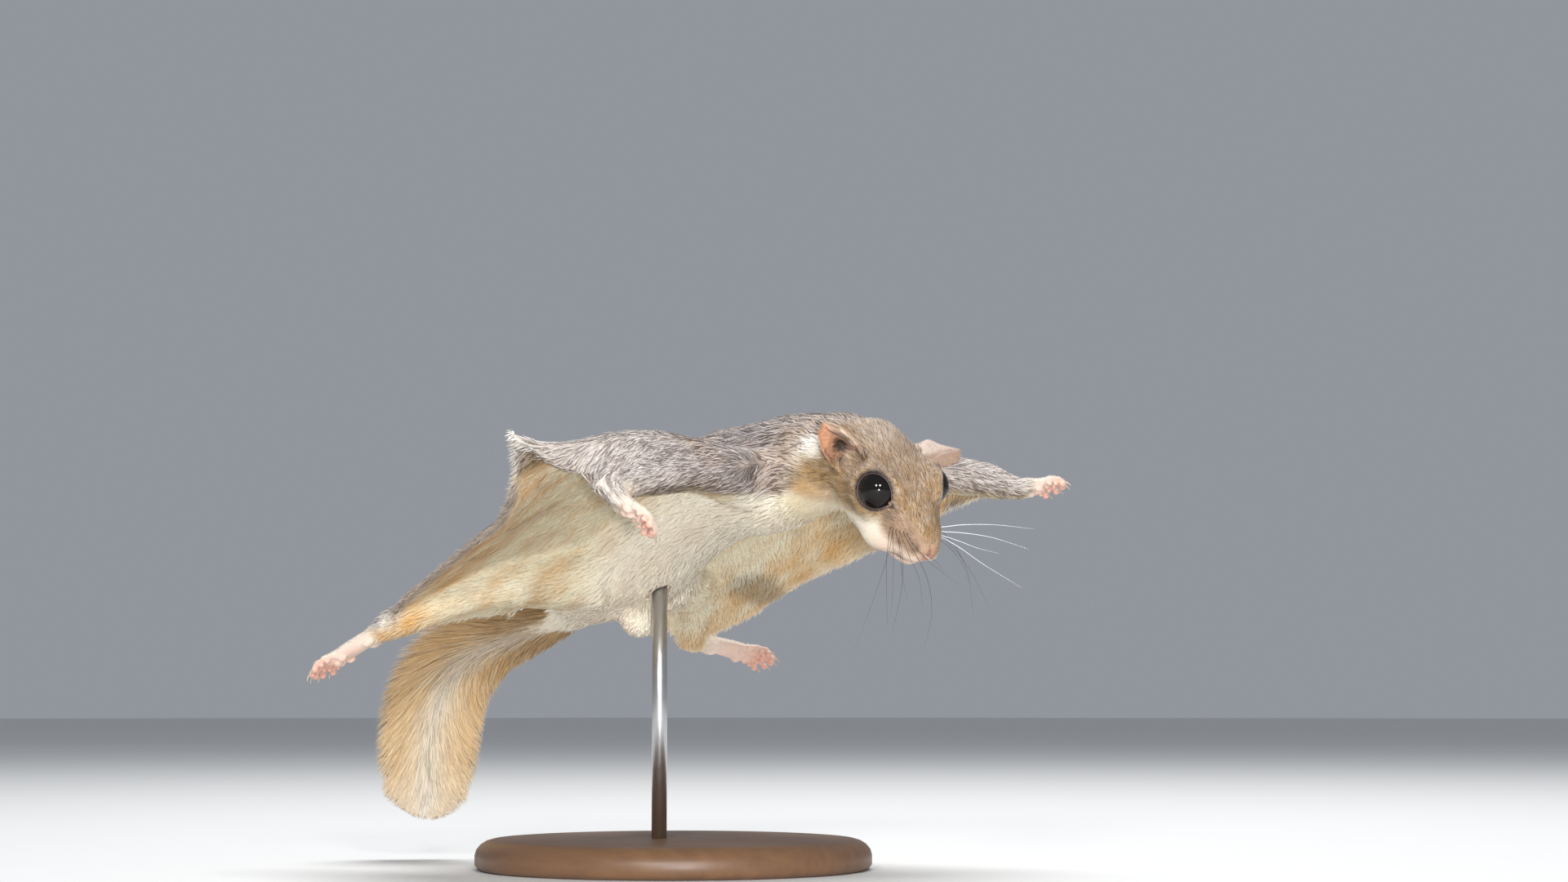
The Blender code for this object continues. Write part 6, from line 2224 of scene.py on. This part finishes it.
@dataclass
class Studio:
    """The floor, the lights and the camera."""

    look_at: Place = (0.0, -0.042, 0.110)
    distance: float = 0.75
    azimuth: float = -43.5
    elevation: float = -5.0
    lens: float = 67.5
    floor_radius: float = 6.0
    floor_sides: int = 96
    room_light: tuple[float, ...] = rgb(0.80, 0.85, 0.93)
    room_strength: float = 0.36
    floor: PlainFinish = PlainFinish(
        "pale_floor", roughness=0.75, first=rgb(0.74, 0.74, 0.73), second=rgb(0.76, 0.76, 0.75), scale=30.0,
        bump=0.0,
    )

    LIGHTS = (
        ("key_left", 0.17, 4.4, 1.1, (-0.18, 0.38, 0.9)), ("key_right", 0.17, 4.4, 1.1, (0.16, 0.38, 0.9)),
        ("low", 0.05, 3.0, 0.78, (0.08, -0.015, 1.0)), ("top", 0.7, 13.0, 1.1, (0.1, 1.0, -0.5)),
    )

    def build(self, groups: Groups) -> None:
        """Sets up the studio."""
        az, el = math.radians(self.azimuth), math.radians(self.elevation)
        back = Vector((math.sin(az) * math.cos(el), -math.cos(az) * math.cos(el), math.sin(el)))
        right = Vector((math.cos(az), math.sin(az), 0.0))
        up = back.cross(right)
        camera = bpy.data.cameras.new("photo_camera")
        camera.lens = self.lens
        camera.sensor_width = 36.0
        camera.clip_start = 0.01
        item = linked("photo_camera", camera)
        turn = Matrix((right, up, back)).transposed().to_4x4()
        item.matrix_world = Matrix.Translation(Vector(self.look_at) + back * self.distance) @ turn
        bpy.context.scene.camera = item
        for name, size, power, away, (aside, over, toward) in self.LIGHTS:
            self._light(name, size, power, away, right * aside + up * over + back * toward)
        world = bpy.data.worlds.new("soft_room")
        world.use_nodes = True
        world.node_tree.nodes["Background"].inputs["Color"].default_value = self.room_light
        world.node_tree.nodes["Background"].inputs["Strength"].default_value = self.room_strength
        bpy.context.scene.world = world
        bpy.context.scene.view_settings.view_transform = "Standard"
        self._floor(groups)

    def _light(self, name: str, size: float, power: float, away: float, way: Vector) -> None:
        """A round soft light that faces the animal."""
        light = bpy.data.lights.new(name, "AREA")
        light.shape = "DISK"
        light.size = size
        light.energy = power
        way = way.normalized()
        turn = UP.rotation_difference(way).to_matrix().to_4x4()
        linked(name, light).matrix_world = Matrix.Translation(Vector(self.look_at) + way * away) @ turn

    def _floor(self, groups: Groups) -> None:
        """A wide disc under the stand."""
        turn = np.linspace(0.0, 2.0 * math.pi, self.floor_sides, endpoint=False)
        rim = np.stack([np.cos(turn), np.sin(turn), np.zeros(self.floor_sides)], axis=1) * self.floor_radius
        floor = loose_object("floor", rim, [tuple(range(self.floor_sides))])
        floor.data.materials.append(self.floor.make(groups))


def report(items: Iterable[Item]) -> None:
    """Tells each piece's name and triangles."""
    total = 0
    for item in items:
        count = len(read_triangles(item.data))
        total += count
        LOG.info("%s: %d triangles", item.name, count)
    LOG.info("in all: %d triangles", total)


def main() -> None:
    """Builds the animal, its stand and the studio."""
    logging.basicConfig(level=logging.INFO, format="%(message)s")
    body = Body()
    markings = Markings(body)
    groups = Groups(CoatColours())
    Studio().build(groups)
    paws = [Paw(body, side, hind) for side in Side for hind in (False, True)]
    maker = Skin(body, markings)
    skin = maker.build(paws)
    skin.data.materials.clear()
    skin_material = SkinFinish("animal_skin", roughness=0.60, gloss=0.4, subsurface=0.10).make(groups)
    finished(skin, skin_material)
    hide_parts(*Skin.BODY_NODES, "head", *Skin.PAW_NODES, *Skin.EAR_NODES, *Skin.TAIL_NODES)
    coat = Coat(body, markings, Lie(body)).grow(skin, maker)
    coat_material = CoatFinish("body_coat", sheen=0.08, gloss=0.35).make(groups)
    for piece in coat:
        finished(piece, coat_material)
    tail = TailPlume(body).build()
    tail_material = CoatFinish("tail_coat", sheen=0.08, gloss=0.35).make(groups)
    for piece in tail:
        finished(piece, tail_material)
    eyes = Lids(body).build(groups, maker.tree)
    whiskers = Whiskers(body).build(groups, maker.tree)
    horn = PlainFinish(
        "claw_horn", roughness=0.3, first=rgb(0.34, 0.24, 0.19), second=rgb(0.62, 0.50, 0.42), scale=500.0,
    ).make(groups)
    claws = [paw.claws() for paw in paws]
    for piece in claws:
        finished(piece, horn)
    stand = Stand().build(groups)
    pieces = [skin, *coat, *tail, *eyes, *whiskers, *claws, *stand]
    for piece in pieces:
        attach(piece, ROOT)
    report(pieces)


if __name__ == "__main__":
    main()
